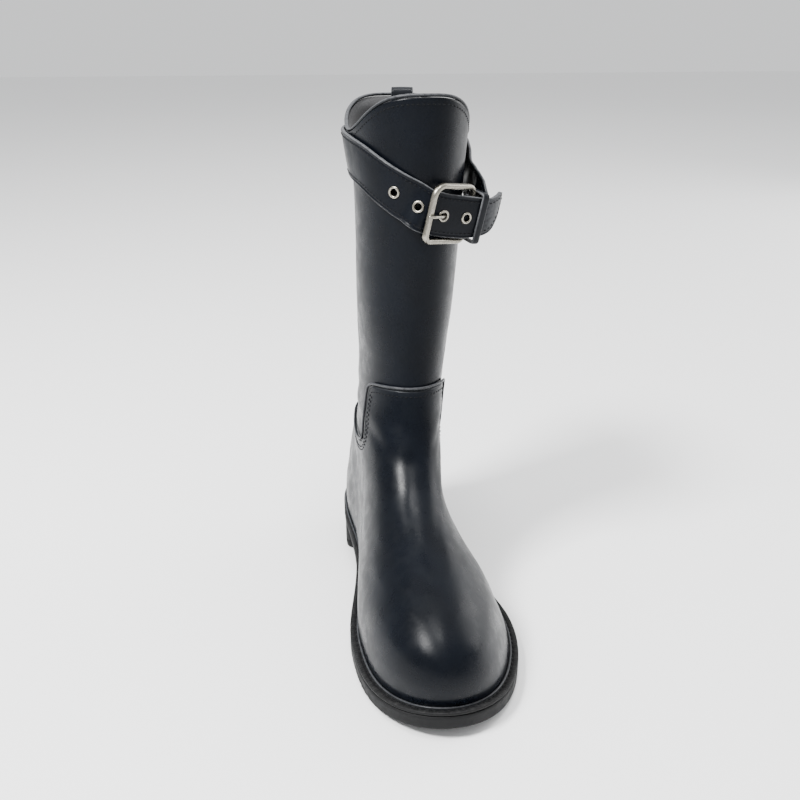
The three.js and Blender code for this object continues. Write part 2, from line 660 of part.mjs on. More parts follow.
function chapePlaces() {
  const points = CHAPE_ROUTE.map(([d, level, off]) => (
    onShaft(d, level, STRAP_STANDOFF + MID + off * STRAP_WIDTH)));
  for (const [u, w, n, turn] of CHAPE_TAIL) {
    points.push({ at: buckleShare(u, w, n), face: N.clone().applyAxisAngle(W, radians(turn)) });
  }
  const mid = -GAP - CHAPE_THICKNESS / 2;
  const bar = heelBar();
  for (const u of CHAPE_RUN) {
    points.push({ at: local(bar.u + u * FRAME_LENGTH, FRAME_LIFT, mid), face: N.clone() });
  }
  const places = route(points, CHAPE_STEPS);
  const total = places[places.length - 1].length;
  for (const place of places) {
    const narrow = CHAPE_NARROWING * smooth((place.length - total + CHAPE_TAPER) / CHAPE_TAPER);
    const flare = STRAP_FLARE * (1 - smooth(place.length / (FLARE_SHARE * total)));
    place.half = HALF_STRAP + flare - narrow;
  }
  const half = HALF_STRAP - CHAPE_NARROWING;
  const reach = BAR_RADIUS + GAP + CHAPE_THICKNESS / 2;
  for (let i = 0; i <= BAR_STEPS; i += 1) {
    const turn = (Math.PI * i) / BAR_STEPS;
    places.push({
      at: local(bar.u - reach * Math.sin(turn), FRAME_LIFT, bar.n + reach * Math.cos(turn)),
      face: N.clone().multiplyScalar(Math.cos(turn)).addScaledVector(U, -Math.sin(turn)),
      half,
    });
  }
  places.push({
    at: local(bar.u + CHAPE_FOLD, FRAME_LIFT, bar.n - reach), face: N.clone().negate(), half,
  });
  return places;
}

const heelBar = () => ({
  u: FRAME_LENGTH / 2,
  n: -GAP - CHAPE_THICKNESS - GAP - BAR_RADIUS,
});
const frontBar = () => ({ u: -FRAME_LENGTH / 2, n: STRAP_THICKNESS + GAP + BAR_RADIUS });

function buckleFrame() {
  const front = frontBar();
  const heel = heelBar();
  const half = FRAME_INSIDE / 2 + BAR_RADIUS;
  const corners = [];
  const side = FRAME_LENGTH / 2 - FRAME_CORNER;
  const tall = half - FRAME_CORNER;
  for (const [cu, cw, start] of [[1, 1, 0], [-1, 1, 1], [-1, -1, 2], [1, -1, 3]]) {
    for (let i = 0; i <= CORNER_STEPS; i += 1) {
      const turn = (Math.PI / 2) * (start + i / CORNER_STEPS);
      corners.push([
        cu * side + FRAME_CORNER * Math.cos(turn), cw * tall + FRAME_CORNER * Math.sin(turn),
      ]);
    }
  }
  const tilt = (u) => mix(front.n, heel.n, (u - front.u) / (heel.u - front.u));
  const centres = corners.map(([u, w]) => local(u, w + FRAME_LIFT, tilt(u)));
  const faceOut = new THREE.Vector3().crossVectors(
    local(heel.u, 0, heel.n).sub(local(front.u, 0, front.n)), W).normalize();
  const frames = centres.map((at, i) => {
    const before = centres[(i + centres.length - 1) % centres.length];
    const after = centres[(i + 1) % centres.length];
    const forward = after.clone().sub(before).normalize();
    return { at, side: forward.clone().cross(faceOut).normalize(), up: faceOut };
  });
  return rod(frames, BAR_RADIUS, FRAME_SIDES, true);
}

function prong() {
  const heel = heelBar();
  const front = frontBar();
  const ringRadius = BAR_RADIUS + GAP + PRONG_RADIUS;
  const ringFrames = [];
  for (let i = 0; i < PRONG_RING_STEPS; i += 1) {
    const turn = (2 * Math.PI * i) / PRONG_RING_STEPS;
    const out = U.clone().multiplyScalar(Math.cos(turn)).addScaledVector(N, Math.sin(turn));
    ringFrames.push({
      at: local(heel.u, 0, heel.n).addScaledVector(out, ringRadius), side: out, up: W.clone(),
    });
  }
  const ring = toManifold(rod(ringFrames, PRONG_RADIUS, PRONG_RING_SIDES, true));
  const over = front.n + BAR_RADIUS + GAP + PRONG_RADIUS;
  const under = -GAP - PRONG_RADIUS;
  const wide = 2 * PRONG_RADIUS;
  const path = [
    [heel.u - ringRadius, heel.n],
    [heel.u - ringRadius - 1.5 * wide, under - PRONG_DIP],
    [PRONG_EYE + 2.4 * wide, under - GAP],
    [PRONG_EYE + PRONG_RADIUS, under + GAP],
    [PRONG_EYE + PRONG_RADIUS / 3, GAP],
    [PRONG_EYE, STRAP_THICKNESS],
    [PRONG_EYE - PRONG_RADIUS, STRAP_THICKNESS + wide],
    [front.u + 2 * wide, over - PRONG_RADIUS],
    [front.u + PRONG_RADIUS, over],
    [front.u - PRONG_OVERHANG, over],
  ];
  const centres = path.map(([u, n]) => local(u, 0, n));
  const frames = centres.map((at, i) => {
    const before = centres[Math.max(i - 1, 0)];
    const after = centres[Math.min(i + 1, centres.length - 1)];
    const forward = after.clone().sub(before).normalize();
    return { at, side: W, up: W.clone().cross(forward).normalize() };
  });
  return ring.add(toManifold(rod(frames, PRONG_RADIUS, PRONG_SIDES, false)));
}

// Eyelets, and the holes they sit in.
function eyeletPlaces(places) {
  const nearest = places.reduce((best, place, i) => {
    const gap = place.at.distanceTo(local(PRONG_EYE, 0, MID));
    return gap < best.gap ? { gap, i } : best;
  }, { gap: Infinity, i: 0 });
  const home = places[nearest.i].length;
  const spots = [];
  for (const step of [-2, -1, 0, 1]) {
    if (step >= 0) {
      spots.push({ at: local(PRONG_EYE + step * EYELET_PITCH, 0, MID), face: N.clone() });
    } else {
      const wanted = home + step * EYELET_PITCH;
      let i = 0;
      while (places[i + 1].length < wanted) i += 1;
      const share = (wanted - places[i].length) / (places[i + 1].length - places[i].length);
      const forward = places[i + 1].at.clone().sub(places[i].at).normalize();
      const face = places[i].face.clone().lerp(places[i + 1].face, share);
      face.addScaledVector(forward, -face.dot(forward)).normalize();
      spots.push({ at: places[i].at.clone().lerp(places[i + 1].at, share), face });
    }
  }
  return spots;
}

// A turned ring from its outline of radius and height, along the face of its place.
function turned(spot, outline, sides) {
  const side = new THREE.Vector3(0, 0, 1).cross(spot.face).normalize();
  const up = spot.face.clone().cross(side).normalize();
  const rings = [];
  for (let i = 0; i < sides; i += 1) {
    const turn = (2 * Math.PI * i) / sides;
    const out = side.clone().multiplyScalar(Math.cos(turn)).addScaledVector(up, Math.sin(turn));
    rings.push(outline.map(([r, h]) =>
      spot.at.clone().addScaledVector(out, r).addScaledVector(spot.face, h)));
  }
  return rings;
}

function eyelet(spot) {
  const face = MID + GAP;
  return loft(turned(spot, [
    [EYELET_HOLE, -MID],
    [EYELET_BARREL, -MID],
    [EYELET_BARREL, face],
    [EYELET_FLANGE, face],
    [EYELET_FLANGE - EYELET_ROUND, face + 0.8 * EYELET_RISE],
    [(EYELET_HOLE + EYELET_FLANGE) / 2, face + EYELET_RISE],
    [EYELET_HOLE, face + EYELET_RISE / 2],
  ], EYELET_SIDES), true);
}

function hole(spot) {
  const radius = EYELET_BARREL + GAP;
  const reach = MID + CUT_MARGIN;
  const rings = turned(spot, [[radius, -reach], [radius, reach]], EYELET_SIDES);
  return toManifold(loft([rings.map((r) => r[0]), rings.map((r) => r[1])]));
}

// A box in the buckle's own frame.
function localBox(u0, u1, w0, w1, n0, n1) {
  const ring = (n) => [[u0, w0], [u1, w0], [u1, w1], [u0, w1]].map(([u, w]) => local(u, w, n));
  return toManifold(loft([ring(n0), ring(n1)]));
}

function chapeStrap() {
  const bar = heelBar();
  const reach = BAR_RADIUS + GAP + CHAPE_THICKNESS + CUT_MARGIN;
  const slot = PRONG_RADIUS + GAP;
  const body = toManifold(ribbon(chapePlaces(), CHAPE_THICKNESS, STRAP_BEVEL));
  return body.subtract(localBox(bar.u - reach, bar.u + reach, -slot, slot, bar.n - reach, 0));
}

function billetStrap(places, spots) {
  return spots.map(hole).reduce((solid, cut) => solid.subtract(cut),
    toManifold(ribbon(places, STRAP_THICKNESS, STRAP_BEVEL)));
}

const KEEPER_U = FRAME_LENGTH / 2 + BAR_RADIUS + 2 * GAP;

function keeper() {
  const high = STRAP_THICKNESS + GAP;
  const low = heelBar().n - BAR_RADIUS - GAP - CHAPE_THICKNESS - GAP;
  const halfWidth = HALF_STRAP + FRAME_LIFT + GAP;
  const box = (more, longer) => localBox(KEEPER_U - longer, KEEPER_U + KEEPER_WIDTH + longer,
    -halfWidth - more, halfWidth + more, low - more, high + more);
  return box(KEEPER_THICKNESS, 0).subtract(box(0, CUT_MARGIN));
}

// Trims on the upper.
// A closed rod that follows a line on the upper, moved off that line by rise, square to it in the
// surface.
function ringRod(level, offset, rise, radius, sides) {
  const centres = RING.map((a) => skin(level(a), a, offset));
  const frames = centres.map((at, i) => {
    const before = centres[(i + centres.length - 1) % centres.length];
    const after = centres[(i + 1) % centres.length];
    const forward = after.clone().sub(before).normalize();
    const side = outward(level(RING[i]), RING[i]);
    side.addScaledVector(forward, -side.dot(forward)).normalize();
    const up = side.clone().cross(forward).normalize();
    return { at: at.clone().addScaledVector(up, rise), side, up };
  });
  return rod(frames, radius, sides, true);
}

const seamPiping = () => ringRod(
  panelEdge, PIPING_RADIUS + 2 * GAP, PIPING_RADIUS + 3 * GAP, PIPING_RADIUS, PIPING_SIDES);

const collarBinding = () => ringRod(
  () => 1, -WALL / 2, BINDING_RADIUS + GAP, BINDING_RADIUS, PIPING_SIDES);

function pullTab() {
  const a = radians(TAB_ANGLE);
  const rim = skin(1, a, 0);
  const out = outward(1, a).setZ(0).normalize();
  const reach = WALL / 2 + GAP + TAB_THICKNESS / 2 + TAB_CLEARANCE;
  const low = levelAt(a, rim.z - TAB_LENGTH);
  const drift = skin(low, a, 0).sub(rim).dot(out);
  const top = TAB_RISE - reach;
  const places = [];
  const push = (across, z, faceOut, faceUp) => places.push({
    at: rim.clone().addScaledVector(out, across - WALL / 2).setZ(rim.z + z),
    face: out.clone().multiplyScalar(faceOut).setZ(faceUp),
    half: TAB_WIDTH / 2,
  });
  push(drift - reach, -TAB_LENGTH, -1, 0);
  for (let i = 0; i <= TAB_STEPS; i += 1) {
    const turn = Math.PI * (1 - i / TAB_STEPS);
    push(reach * Math.cos(turn), top + reach * Math.sin(turn), Math.cos(turn), Math.sin(turn));
  }
  push(drift + reach, -TAB_LENGTH, 1, 0);
  return ribbon(places, TAB_THICKNESS, TAB_BEVEL);
}

// Assembly.
const leather = () => material(LEATHER, 0.42, 0);
const trim = () => material(TRIM, 0.4, 0);
const rubber = () => material(RUBBER, 0.75, 0);
const metal = () => material(METAL, 0.32, 1);

add("upper", upperShell(), leather());
add("seam_piping", seamPiping(), trim());
add("collar_binding", collarBinding(), trim());
add("pull_tab", pullTab(), trim());
add("insole", insole(), material(SOCK, 0.8, 0));
add("welt", welt(), rubber());
add("outsole", fromManifold(outsole()), rubber());
add("heel_block", fromManifold(heelBlock()), rubber());
const billet = billetPlaces();
const spots = eyeletPlaces(billet);
add("billet_strap", fromManifold(billetStrap(billet, spots)), leather());
add("chape_strap", fromManifold(chapeStrap()), leather());
add("strap_keeper", fromManifold(keeper()), leather());
add("buckle_frame", buckleFrame(), metal());
add("buckle_prong", fromManifold(prong()), metal());
spots.forEach((spot, i) => add(`eyelet_${i + 1}`, eyelet(spot), metal()));

export default part;
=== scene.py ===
"""Dresses the solids of a tall buckle boot: leather, linings, stitches, soles, straps and metal.

The toe points to -Y, +X is the lateral side of this left boot, and the floor is at Z = 0.
Shapes are worked out in millimetres and go into their meshes in metres.
"""
import math

import bmesh
import bpy
import numpy as np
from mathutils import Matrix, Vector


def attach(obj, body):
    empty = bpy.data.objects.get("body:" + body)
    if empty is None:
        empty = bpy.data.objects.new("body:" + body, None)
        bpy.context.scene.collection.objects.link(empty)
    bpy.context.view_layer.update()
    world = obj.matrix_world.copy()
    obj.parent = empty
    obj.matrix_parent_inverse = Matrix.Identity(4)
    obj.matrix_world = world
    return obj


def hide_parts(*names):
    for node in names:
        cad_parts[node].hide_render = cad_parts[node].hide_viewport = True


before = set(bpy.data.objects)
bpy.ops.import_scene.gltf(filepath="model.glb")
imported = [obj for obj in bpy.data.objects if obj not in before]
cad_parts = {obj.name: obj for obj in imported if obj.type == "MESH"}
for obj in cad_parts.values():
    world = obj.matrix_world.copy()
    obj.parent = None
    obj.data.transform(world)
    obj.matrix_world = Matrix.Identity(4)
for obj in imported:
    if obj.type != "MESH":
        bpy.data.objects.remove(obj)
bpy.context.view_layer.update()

bl_info = {
    "name": "Buckle boot",
    "version": (1, 0, 0),
    "blender": (4, 5, 0),
    "location": "3D View > Sidebar > Boot",
    "description": "Builds the leather, soles, straps and buckle of a tall boot over its solids",
    "category": "Object",
}

MM = 0.001

# Sizes of the last, in millimetres, as in the solids.
LENGTH = 281
BALL_WIDTH = 114.5
HEEL_HEIGHT = 40
INSTEP_HEIGHT = 102
BOOT_HEIGHT = 357
TOE_SPRING = 9
SOLE_THICKNESS = 12.5
WALL = 2.5
PANEL_STEP = 1.3
GAP = 0.3
WELT_THICKNESS = 2.6
WELT_MARGIN = 7.6
SEAT_MARGIN = 3.6
INSOLE_THICKNESS = 3
INSOLE_CLEARANCE = 1.6
ARCH_THINNING = 3.5
SEAT_THINNING = 3
HEEL_LENGTH = 61
BREAST_BOW = 4
BREAST_CORNER = 10
GROOVE_DEPTH = 2
GROOVE_WIDTH = 3
GROOVE_PITCH = 13
FOREFOOT_GROOVES = 6
HEEL_GROOVES = 3
PIPING_RADIUS = 0.95
BINDING_RADIUS = 1.1
TAB_WIDTH = 16
TAB_THICKNESS = 1.6
TAB_LENGTH = 15
TAB_RISE = 5.5
TAB_ANGLE = 170
TAB_CLEARANCE = 1.3
STRAP_WIDTH = 28.5
STRAP_FLARE = 3
STRAP_THICKNESS = 2.4
STRAP_STANDOFF = 1
BUCKLE_STANDOFF = 3.8
TIP_LENGTH = 40
TIP_DROP = 2.5
TIP_WIDTH = 4
KEEPER_WIDTH = 5.5
KEEPER_THICKNESS = 1.6
FRAME_LENGTH = 36
FRAME_INSIDE = 32
FRAME_LIFT = 1
BAR_RADIUS = 2.2
CHAPE_THICKNESS = 2
CHAPE_NARROWING = 1.6
CHAPE_TAPER = 30
CHAPE_FOLD = 8
PRONG_RADIUS = 1.05
PRONG_OVERHANG = 2.5
PRONG_DIP = 0.8
EYELET_PITCH = 18.3
EYELET_HOLE = 2.35
EYELET_BARREL = 2.85
EYELET_FLANGE = 4
EYELET_RISE = 0.7

# Sections of the last from the feather edge to the collar, as in the solids.
COLUMNS = (
    "frontY frontFoot frontShaft backY backFoot backShaft toe ball waist seat back sole dip shift swing"
).split()
SECTIONS = (
    (-0.839, 0, 0, 0.122, 0, 0, 0.567, 0.465, 0.308, 0.394, 0.536, 1, 0, 0, 1),
    (-0.848, 0.12, 0, 0.128, 0.1, 0, 0.554, 0.458, 0.314, 0.38, 0.517, 1, 0, -0.013, 1),
    (-0.846, 0.27, 0, 0.135, 0.21, 0, 0.519, 0.432, 0.303, 0.347, 0.471, 1, 0, -0.03, 1),
    (-0.821, 0.415, 0, 0.14, 0.33, 0, 0.459, 0.389, 0.276, 0.305, 0.409, 0.85, 0, -0.044, 1),
    (-0.762, 0.537, 0, 0.141, 0.463, 0, 0.37, 0.319, 0.245, 0.271, 0.356, 0.7, 0, -0.053, 0.9),
    (-0.664, 0.65, 0, 0.136, 0.61, 0, 0.293, 0.259, 0.223, 0.243, 0.314, 0.5, 0, -0.053, 0.75),
    (-0.542, 0.79, 0, 0.128, 0.78, 0, 0.257, 0.233, 0.217, 0.229, 0.287, 0.3, 0, -0.04, 0.5),
    (-0.429, 1, 0, 0.124, 0.96, 0, 0.262, 0.241, 0.231, 0.235, 0.273, 0.1, 0, -0.015, 0.25),
    (-0.345, 1, 0.1, 0.127, 0.96, 0.07, 0.281, 0.258, 0.244, 0.239, 0.263, 0, 0, 0.018, 0),
    (-0.3, 1, 0.234, 0.133, 0.96, 0.184, 0.289, 0.268, 0.255, 0.244, 0.26, 0, 0, 0.048, 0),
    (-0.283, 1, 0.425, 0.143, 0.96, 0.364, 0.318, 0.303, 0.285, 0.276, 0.289, 0, 0, 0.074, 0),
    (-0.282, 1, 0.628, 0.15, 0.96, 0.559, 0.334, 0.323, 0.304, 0.307, 0.317, 0, 0.008, 0.095, 0),
    (-0.289, 1, 0.835, 0.153, 0.96, 0.743, 0.349, 0.336, 0.325, 0.345, 0.359, 0, 0.034, 0.104, 0),
    (-0.296, 1, 1, 0.157, 0.96, 0.904, 0.379, 0.356, 0.364, 0.398, 0.423, 0, 0.088, 0.106, 0),
)
STATIONS = (0, 0.3, 0.6, 0.82, 1)
DIP_POWER = 3.5
CENTRE_LINE = (
    (-0.907, 0.007), (-0.75, 0.015), (-0.575, 0.043), (-0.384, 0.046),
    (-0.209, 0.031), (-0.07, 0.009), (0.209, 0),
)
SPRING_START = -0.66
SPRING_END = -0.87
CLIMB_START = -0.45
CLIMB_END = 0.02
BREAST_FADE = 0.12
# Top edge of the foot panel: degrees from the front, share of the boot's height.
PANEL_EDGE = (
    (0, 0.454), (25, 0.453), (45, 0.448), (55, 0.441), (60, 0.425), (65, 0.375),
    (70, 0.338), (80, 0.316), (105, 0.303), (140, 0.303), (180, 0.308),
)
# Middle of the straps on the shaft: degrees, share of the height, and for the chape its free
# loop's extra standoff as a share of the strap's width.
BILLET_ROUTE = (
    (-177, 0.878), (-164, 0.879), (-150, 0.88), (-128, 0.882), (-108, 0.883), (-90, 0.882),
    (-75, 0.878), (-59, 0.87), (-45, 0.856), (-34, 0.843), (-22, 0.829), (-12, 0.818),
)
CHAPE_ROUTE = (
    (179, 0.878, 0), (167, 0.878, 0), (154, 0.878, 0.028), (138, 0.876, 0.14), (124, 0.873, 0.246),
    (111, 0.867, 0.263), (99, 0.858, 0.175), (89, 0.843, 0.123), (79, 0.832, 0.105), (68, 0.822, 0.211),
)
BUCKLE_ANGLE = 8
BUCKLE_LEVEL = 0.795
BUCKLE_DROP = 10
BUCKLE_LEAN = 7
BUCKLE_TURN = 7
BUCKLE_OFFSET = 12
PRONG_EYE = -6
FLARE_SHARE = 0.55
# Along the strap, up and out as shares of the frame's length, then degrees turned.
BUCKLE_ROUTE = (
    (-0.556, 0.05, -0.033, 0), (-0.333, 0.019, -0.006, 0), (-0.111, 0, 0, 0), (0.222, 0, 0, 0),
    (0.5, 0, 0, 0), (0.75, 0, 0, 0),
)
BILLET_TAIL = (
    (0.861, 0.022, 0.025, 8), (1, 0.078, -0.028, 22), (1.125, 0.144, -0.111, 33),
    (1.222, 0.211, -0.208, 42),
)
CHAPE_TAIL = ((0.833, 0.319, -0.5, 84), (0.833, 0.153, -0.319, 84), (0.814, 0.042, -0.139, 64))
CHAPE_RUN = (0.264, 0.167, 0.056)

# Soft troughs and ridges of the worn-in leather: degrees and height of the middle, degrees the
# line leans, half its length, half its width and its depth in millimetres (a ridge is negative).
FOLDS = (
    (0, 119, 0, 26, 6, 0.9),
    (-52, 128, -18, 22, 5, 0.7),
    (50, 131, 24, 24, 5, 0.8),
    (58, 112, 46, 26, 6, -0.8),
    (104, 126, -8, 30, 4.5, 1.1),
    (-112, 124, 8, 32, 4.5, 1.2),
    (176, 131, 4, 30, 5, 0.9),
    (-118, 142, 12, 26, 5, 0.7),
    (120, 150, -10, 24, 6, 0.6),
    (-150, 113, -6, 20, 3.5, -0.5),
    (22, 88, 30, 22, 7, 0.5),
    (-26, 84, -26, 22, 7, 0.5),
    (-80, 176, 14, 26, 9, 0.5),
    (86, 190, -12, 30, 10, 0.5),
)
DEGREE_RUN = 0.8  # millimetres round the ankle for a degree

# Profile of the welt: share of the way from the upper to the edge, millimetres moved in, height,
# how far it is ribbed and how far it is worn.
WELT_PROFILE = (
    (0, -WALL - 5.5, 0, 0, 0), (0, -0.5, 0, 0, 0), (0, 1.2, 0, 0, 0), (0.3, 0, 0.02, 0, 0),
    (0.4, 0, -0.1, 0, 0), (0.46, 0, -0.42, 0, 0), (0.54, 0, -0.42, 0, 0), (0.6, 0, -0.1, 0, 0),
    (0.68, 0, 0.04, 0.4, 0), (0.84, 0, 0.02, 1, 0.3), (1, -0.75, -0.1, 1, 1), (1, -0.2, -0.5, 0.7, 1),
    (1, 0, -1.15, 0.2, 0.4), (1, -0.12, -1.9, 0, 0), (1, -0.6, -WELT_THICKNESS + 0.1, 0, 0),
    (1, -1.4, -WELT_THICKNESS, 0, 0), (0, -WALL - 5.5, -WELT_THICKNESS, 0, 0),
)
# Profiles of the soles' rims: inset, share of the height, millimetres moved up.
OUTSOLE_PROFILE = (
    (9, 1, 0), (1.1, 1, 0), (0.35, 1, -0.25), (0, 1, -0.9), (0, 0.7, 0), (0.08, 0.5, 0), (0.08, 0.3, 0),
    (0, 0, 1.2), (0.3, 0, 0.4), (1, 0, 0), (4, 0, 0), (4.2, 0, 0.7), (9, 0, 0.7),
)
HEEL_PROFILE = (
    (9, 1, 0), (1.2, 1, 0), (0.8, 1, -0.3), (0.7, 1, -0.9), (0.75, 0.5, 0), (0.8, 0, 7.2), (1.1, 0, 6.95),
    (0.82, 0, 6.7), (1.2, 0, 1.2), (1.7, 0, 0.35), (2.4, 0, 0), (5, 0, 0), (5.2, 0, 0.7), (9, 0, 0.7),
)
TREAD_THICKNESS = 2.5
STITCH_SHARE = 0.72  # length of a thread as a share of the pitch
BAR_SLIMNESS = 0.87  # width of the frame's bars as a share of their depth
BAR_SQUARENESS = 0.82  # below 1 fills the corners of a round bar

# The studio: each light's name, place, width, height and power.
LIGHTS = (
    ("key", (-0.95, -0.5, 1.55), 0.4, 0.4, 74),
    ("overhead", (0, -0.35, 2.1), 0.6, 0.6, 26),
    ("sky", (0.9, 0.7, 3.2), 4.2, 4.2, 60),
    ("lateral", (1.9, 0.6, 0.7), 1.4, 1.2, 26),
)
WORLD_COLOUR = (0.93, 0.94, 0.95, 1)
WORLD_STRENGTH = 1.02

# The camera of the picture: degrees from -Y towards -X, degrees above the floor, distance and
# the place it looks at in millimetres.
CAMERA_TURN = 10.5
CAMERA_RISE = 22.6
CAMERA_DISTANCE = 639
CAMERA_TARGET = (0, -58.8, 145.4)
CAMERA_LENS = 39.6


# Curves and shared arithmetic.
def smooth(value):
    """Eases from 0 to 1 with a level start and end."""
    u = np.clip(value, 0, 1)
    return u * u * (3 - 2 * u)


def mix(a, b, share):
    """The value a share of the way from a to b."""
    return a + (b - a) * share


def unit(vectors):
    """Each vector divided by its own length."""
    return vectors / np.linalg.norm(vectors, axis=-1, keepdims=True)


def bell(value):
    """A bell curve: 1 in the middle, falling away on both sides."""
    return np.exp(-value * value)


def through(rows, x):
    """A smooth curve through equally spaced rows: each span is the cubic through its four
    neighbouring rows, and the curve runs straight on past the first and last."""
    rows = np.asarray(rows, float)
    rows = np.vstack([2 * rows[0] - rows[1], rows, 2 * rows[-1] - rows[-2]])
    i = np.clip(np.floor(x).astype(int), 0, len(rows) - 4)
    u = (x - i)[..., None]
    p0, p1, p2, p3 = rows[i], rows[i + 1], rows[i + 2], rows[i + 3]
    return 0.5 * (2 * p1 + (p2 - p0) * u + (2 * p0 - 5 * p1 + 4 * p2 - p3) * u * u
                  + (3 * p1 - p0 - 3 * p2 + p3) * u ** 3)


def along(places, values, x):
    """A smooth curve through values at uneven places: each span is a cubic whose end slopes
    join the neighbouring places."""
    places = np.asarray(places, float)
    x = np.asarray(x, float)
    values = np.broadcast_to(np.asarray(values, float), x.shape + (len(places),))
    last = len(places) - 1
    before = np.maximum(np.arange(last + 1) - 1, 0)
    after = np.minimum(np.arange(last + 1) + 1, last)
    slopes = (values[..., after] - values[..., before]) / (places[after] - places[before])
    i = np.searchsorted(places[1:last], x)

    def pick(table, k):
        return np.take_along_axis(table, k[..., None], -1)[..., 0]

    h = places[i + 1] - places[i]
    u = np.clip((x - places[i]) / h, 0, 1)
    v = 1 - u
    return (pick(values, i) * v * v * (1 + 2 * u) + pick(values, i + 1) * u * u * (3 - 2 * u)
            + h * u * v * (pick(slopes, i) * v - pick(slopes, i + 1) * u))


def table(pairs, x):
    """A smooth curve through pairs of place and value."""
    places, values = np.transpose(pairs)
    return along(places, values, x)


def sole_top(y):
    """Height of the sole's upper face: level under the ball, a square-law spring at the toe and
    an eased climb to the heel's seat."""
    share = y / LENGTH
    spring = np.clip((share - SPRING_START) / (SPRING_END - SPRING_START), 0, 2) ** 2
    climb = smooth((share - CLIMB_START) / (CLIMB_END - CLIMB_START))
    return SOLE_THICKNESS + TOE_SPRING * spring + (HEEL_HEIGHT - SOLE_THICKNESS) * climb


HEEL_BACK = 0.135 * LENGTH
BREAST_Y = HEEL_BACK - HEEL_LENGTH


def sole_bottom(y):
    """Height of the outsole's lower face: the upper face less the thickness, thinned at the
    waist and under the seat."""
    waist = smooth((y / LENGTH - CLIMB_START) / BREAST_FADE)
    seat = smooth((y - BREAST_Y) / (BREAST_FADE * LENGTH))
    thinned = ARCH_THINNING * waist + (SEAT_THINNING - ARCH_THINNING) * seat
    return sole_top(y) - SOLE_THICKNESS + thinned


TOE_FEATHER = sole_top(SECTIONS[0][0] * LENGTH)
SEAT_FEATHER = sole_top(SECTIONS[0][3] * LENGTH)
INSTEP_RISE = INSTEP_HEIGHT - TOE_FEATHER
RIM_HEIGHT = BOOT_HEIGHT - 2 * BINDING_RADIUS - GAP
SHAFT_RISE = RIM_HEIGHT - INSTEP_HEIGHT
STEP = 1e-3


def boot(t, a):
    """The last's surface. t runs from the feather edge 0 to the collar 1, a is the angle round
    it from the front. A ring goes from its front place to its back place by a cosine, and out
    to its half-width by a sine; its sides dip and its foot follows the sole."""
    t, a = np.broadcast_arrays(np.asarray(t, float), np.asarray(a, float))
    values = through(SECTIONS, np.clip(t, 0, 1) * (len(SECTIONS) - 1))
    row = {name: values[..., k] for k, name in enumerate(COLUMNS)}
    s = (1 - np.cos(a)) / 2
    front_y, back_y = row["frontY"] * LENGTH, row["backY"] * LENGTH
    y = mix(front_y, back_y, s)
    front_z = TOE_FEATHER + row["frontFoot"] * INSTEP_RISE + row["frontShaft"] * SHAFT_RISE
    back_z = SEAT_FEATHER + row["backFoot"] * INSTEP_RISE + row["backShaft"] * SHAFT_RISE
    sag = sole_top(y) - mix(sole_top(front_y), sole_top(back_y), s)
    dip = row["dip"] * SHAFT_RISE * np.abs(np.sin(a)) ** DIP_POWER
    halves = np.stack([row[name] for name in ("toe", "ball", "waist", "seat", "back")], -1)
    half = BALL_WIDTH * along(STATIONS, halves, s)
    centre = BALL_WIDTH * table(CENTRE_LINE, y / LENGTH)
    x = half * np.sin(a) + row["swing"] * centre + row["shift"] * BALL_WIDTH
    return np.stack([x, y, mix(front_z, back_z, s) + row["sole"] * sag - dip + GAP], -1)


def slopes(t, a):
    """The last's two slopes at a place: for a step round it and for a step up it."""
    t = np.clip(t, STEP, 1 - STEP)
    return boot(t, a + STEP) - boot(t, a - STEP), boot(t + STEP, a) - boot(t - STEP, a)


def outward(t, a):
    """The way the last's surface faces: square to both its slopes."""
    return unit(np.cross(*slopes(t, a)))


def skin(t, a, offset):
    """The last's surface moved out by an offset; its lowest edge stays on the sole."""
    t, a, offset = np.broadcast_arrays(
        np.asarray(t, float), np.asarray(a, float), np.asarray(offset, float))
    p = boot(t, a) + outward(t, a) * offset[..., None]
    return np.concatenate(
        [p[..., :2], np.where(t == 0, sole_top(p[..., 1]) + GAP, p[..., 2])[..., None]], -1)


def turning_point(low, high, test):
    """The place between low and high where a test turns false, by halving the gap."""
    for _ in range(36):
        middle = (low + high) / 2
        under = test(middle)
        low, high = np.where(under, middle, low), np.where(under, high, middle)
    return (low + high) / 2


def level_at(a, z):
    """How far up the last reaches a height on the line a."""
    a, z = np.broadcast_arrays(np.asarray(a, float), np.asarray(z, float))
    return turning_point(np.zeros(a.shape), np.ones(a.shape), lambda t: boot(t, a)[..., 2] < z)


def from_front(a):
    """Degrees from the front, without a sign."""
    return np.abs((np.degrees(a) + 180) % 360 - 180)


def panel_edge(a):
    """How far up the last the foot panel's top edge lies."""
    return level_at(a, BOOT_HEIGHT * table(PANEL_EDGE, from_front(a)))


def ring_angles(count):
    """Angles round the last, closer together where the panel's edge drops."""
    fine = np.linspace(-np.pi, np.pi, 3601)
    density = 1 + 1.6 * bell((from_front(fine) - 63) / 9)
    run = np.concatenate([[0], np.cumsum((density[1:] + density[:-1]) / 2)])
    return np.interp(np.arange(count) / count * run[-1], run, fine)


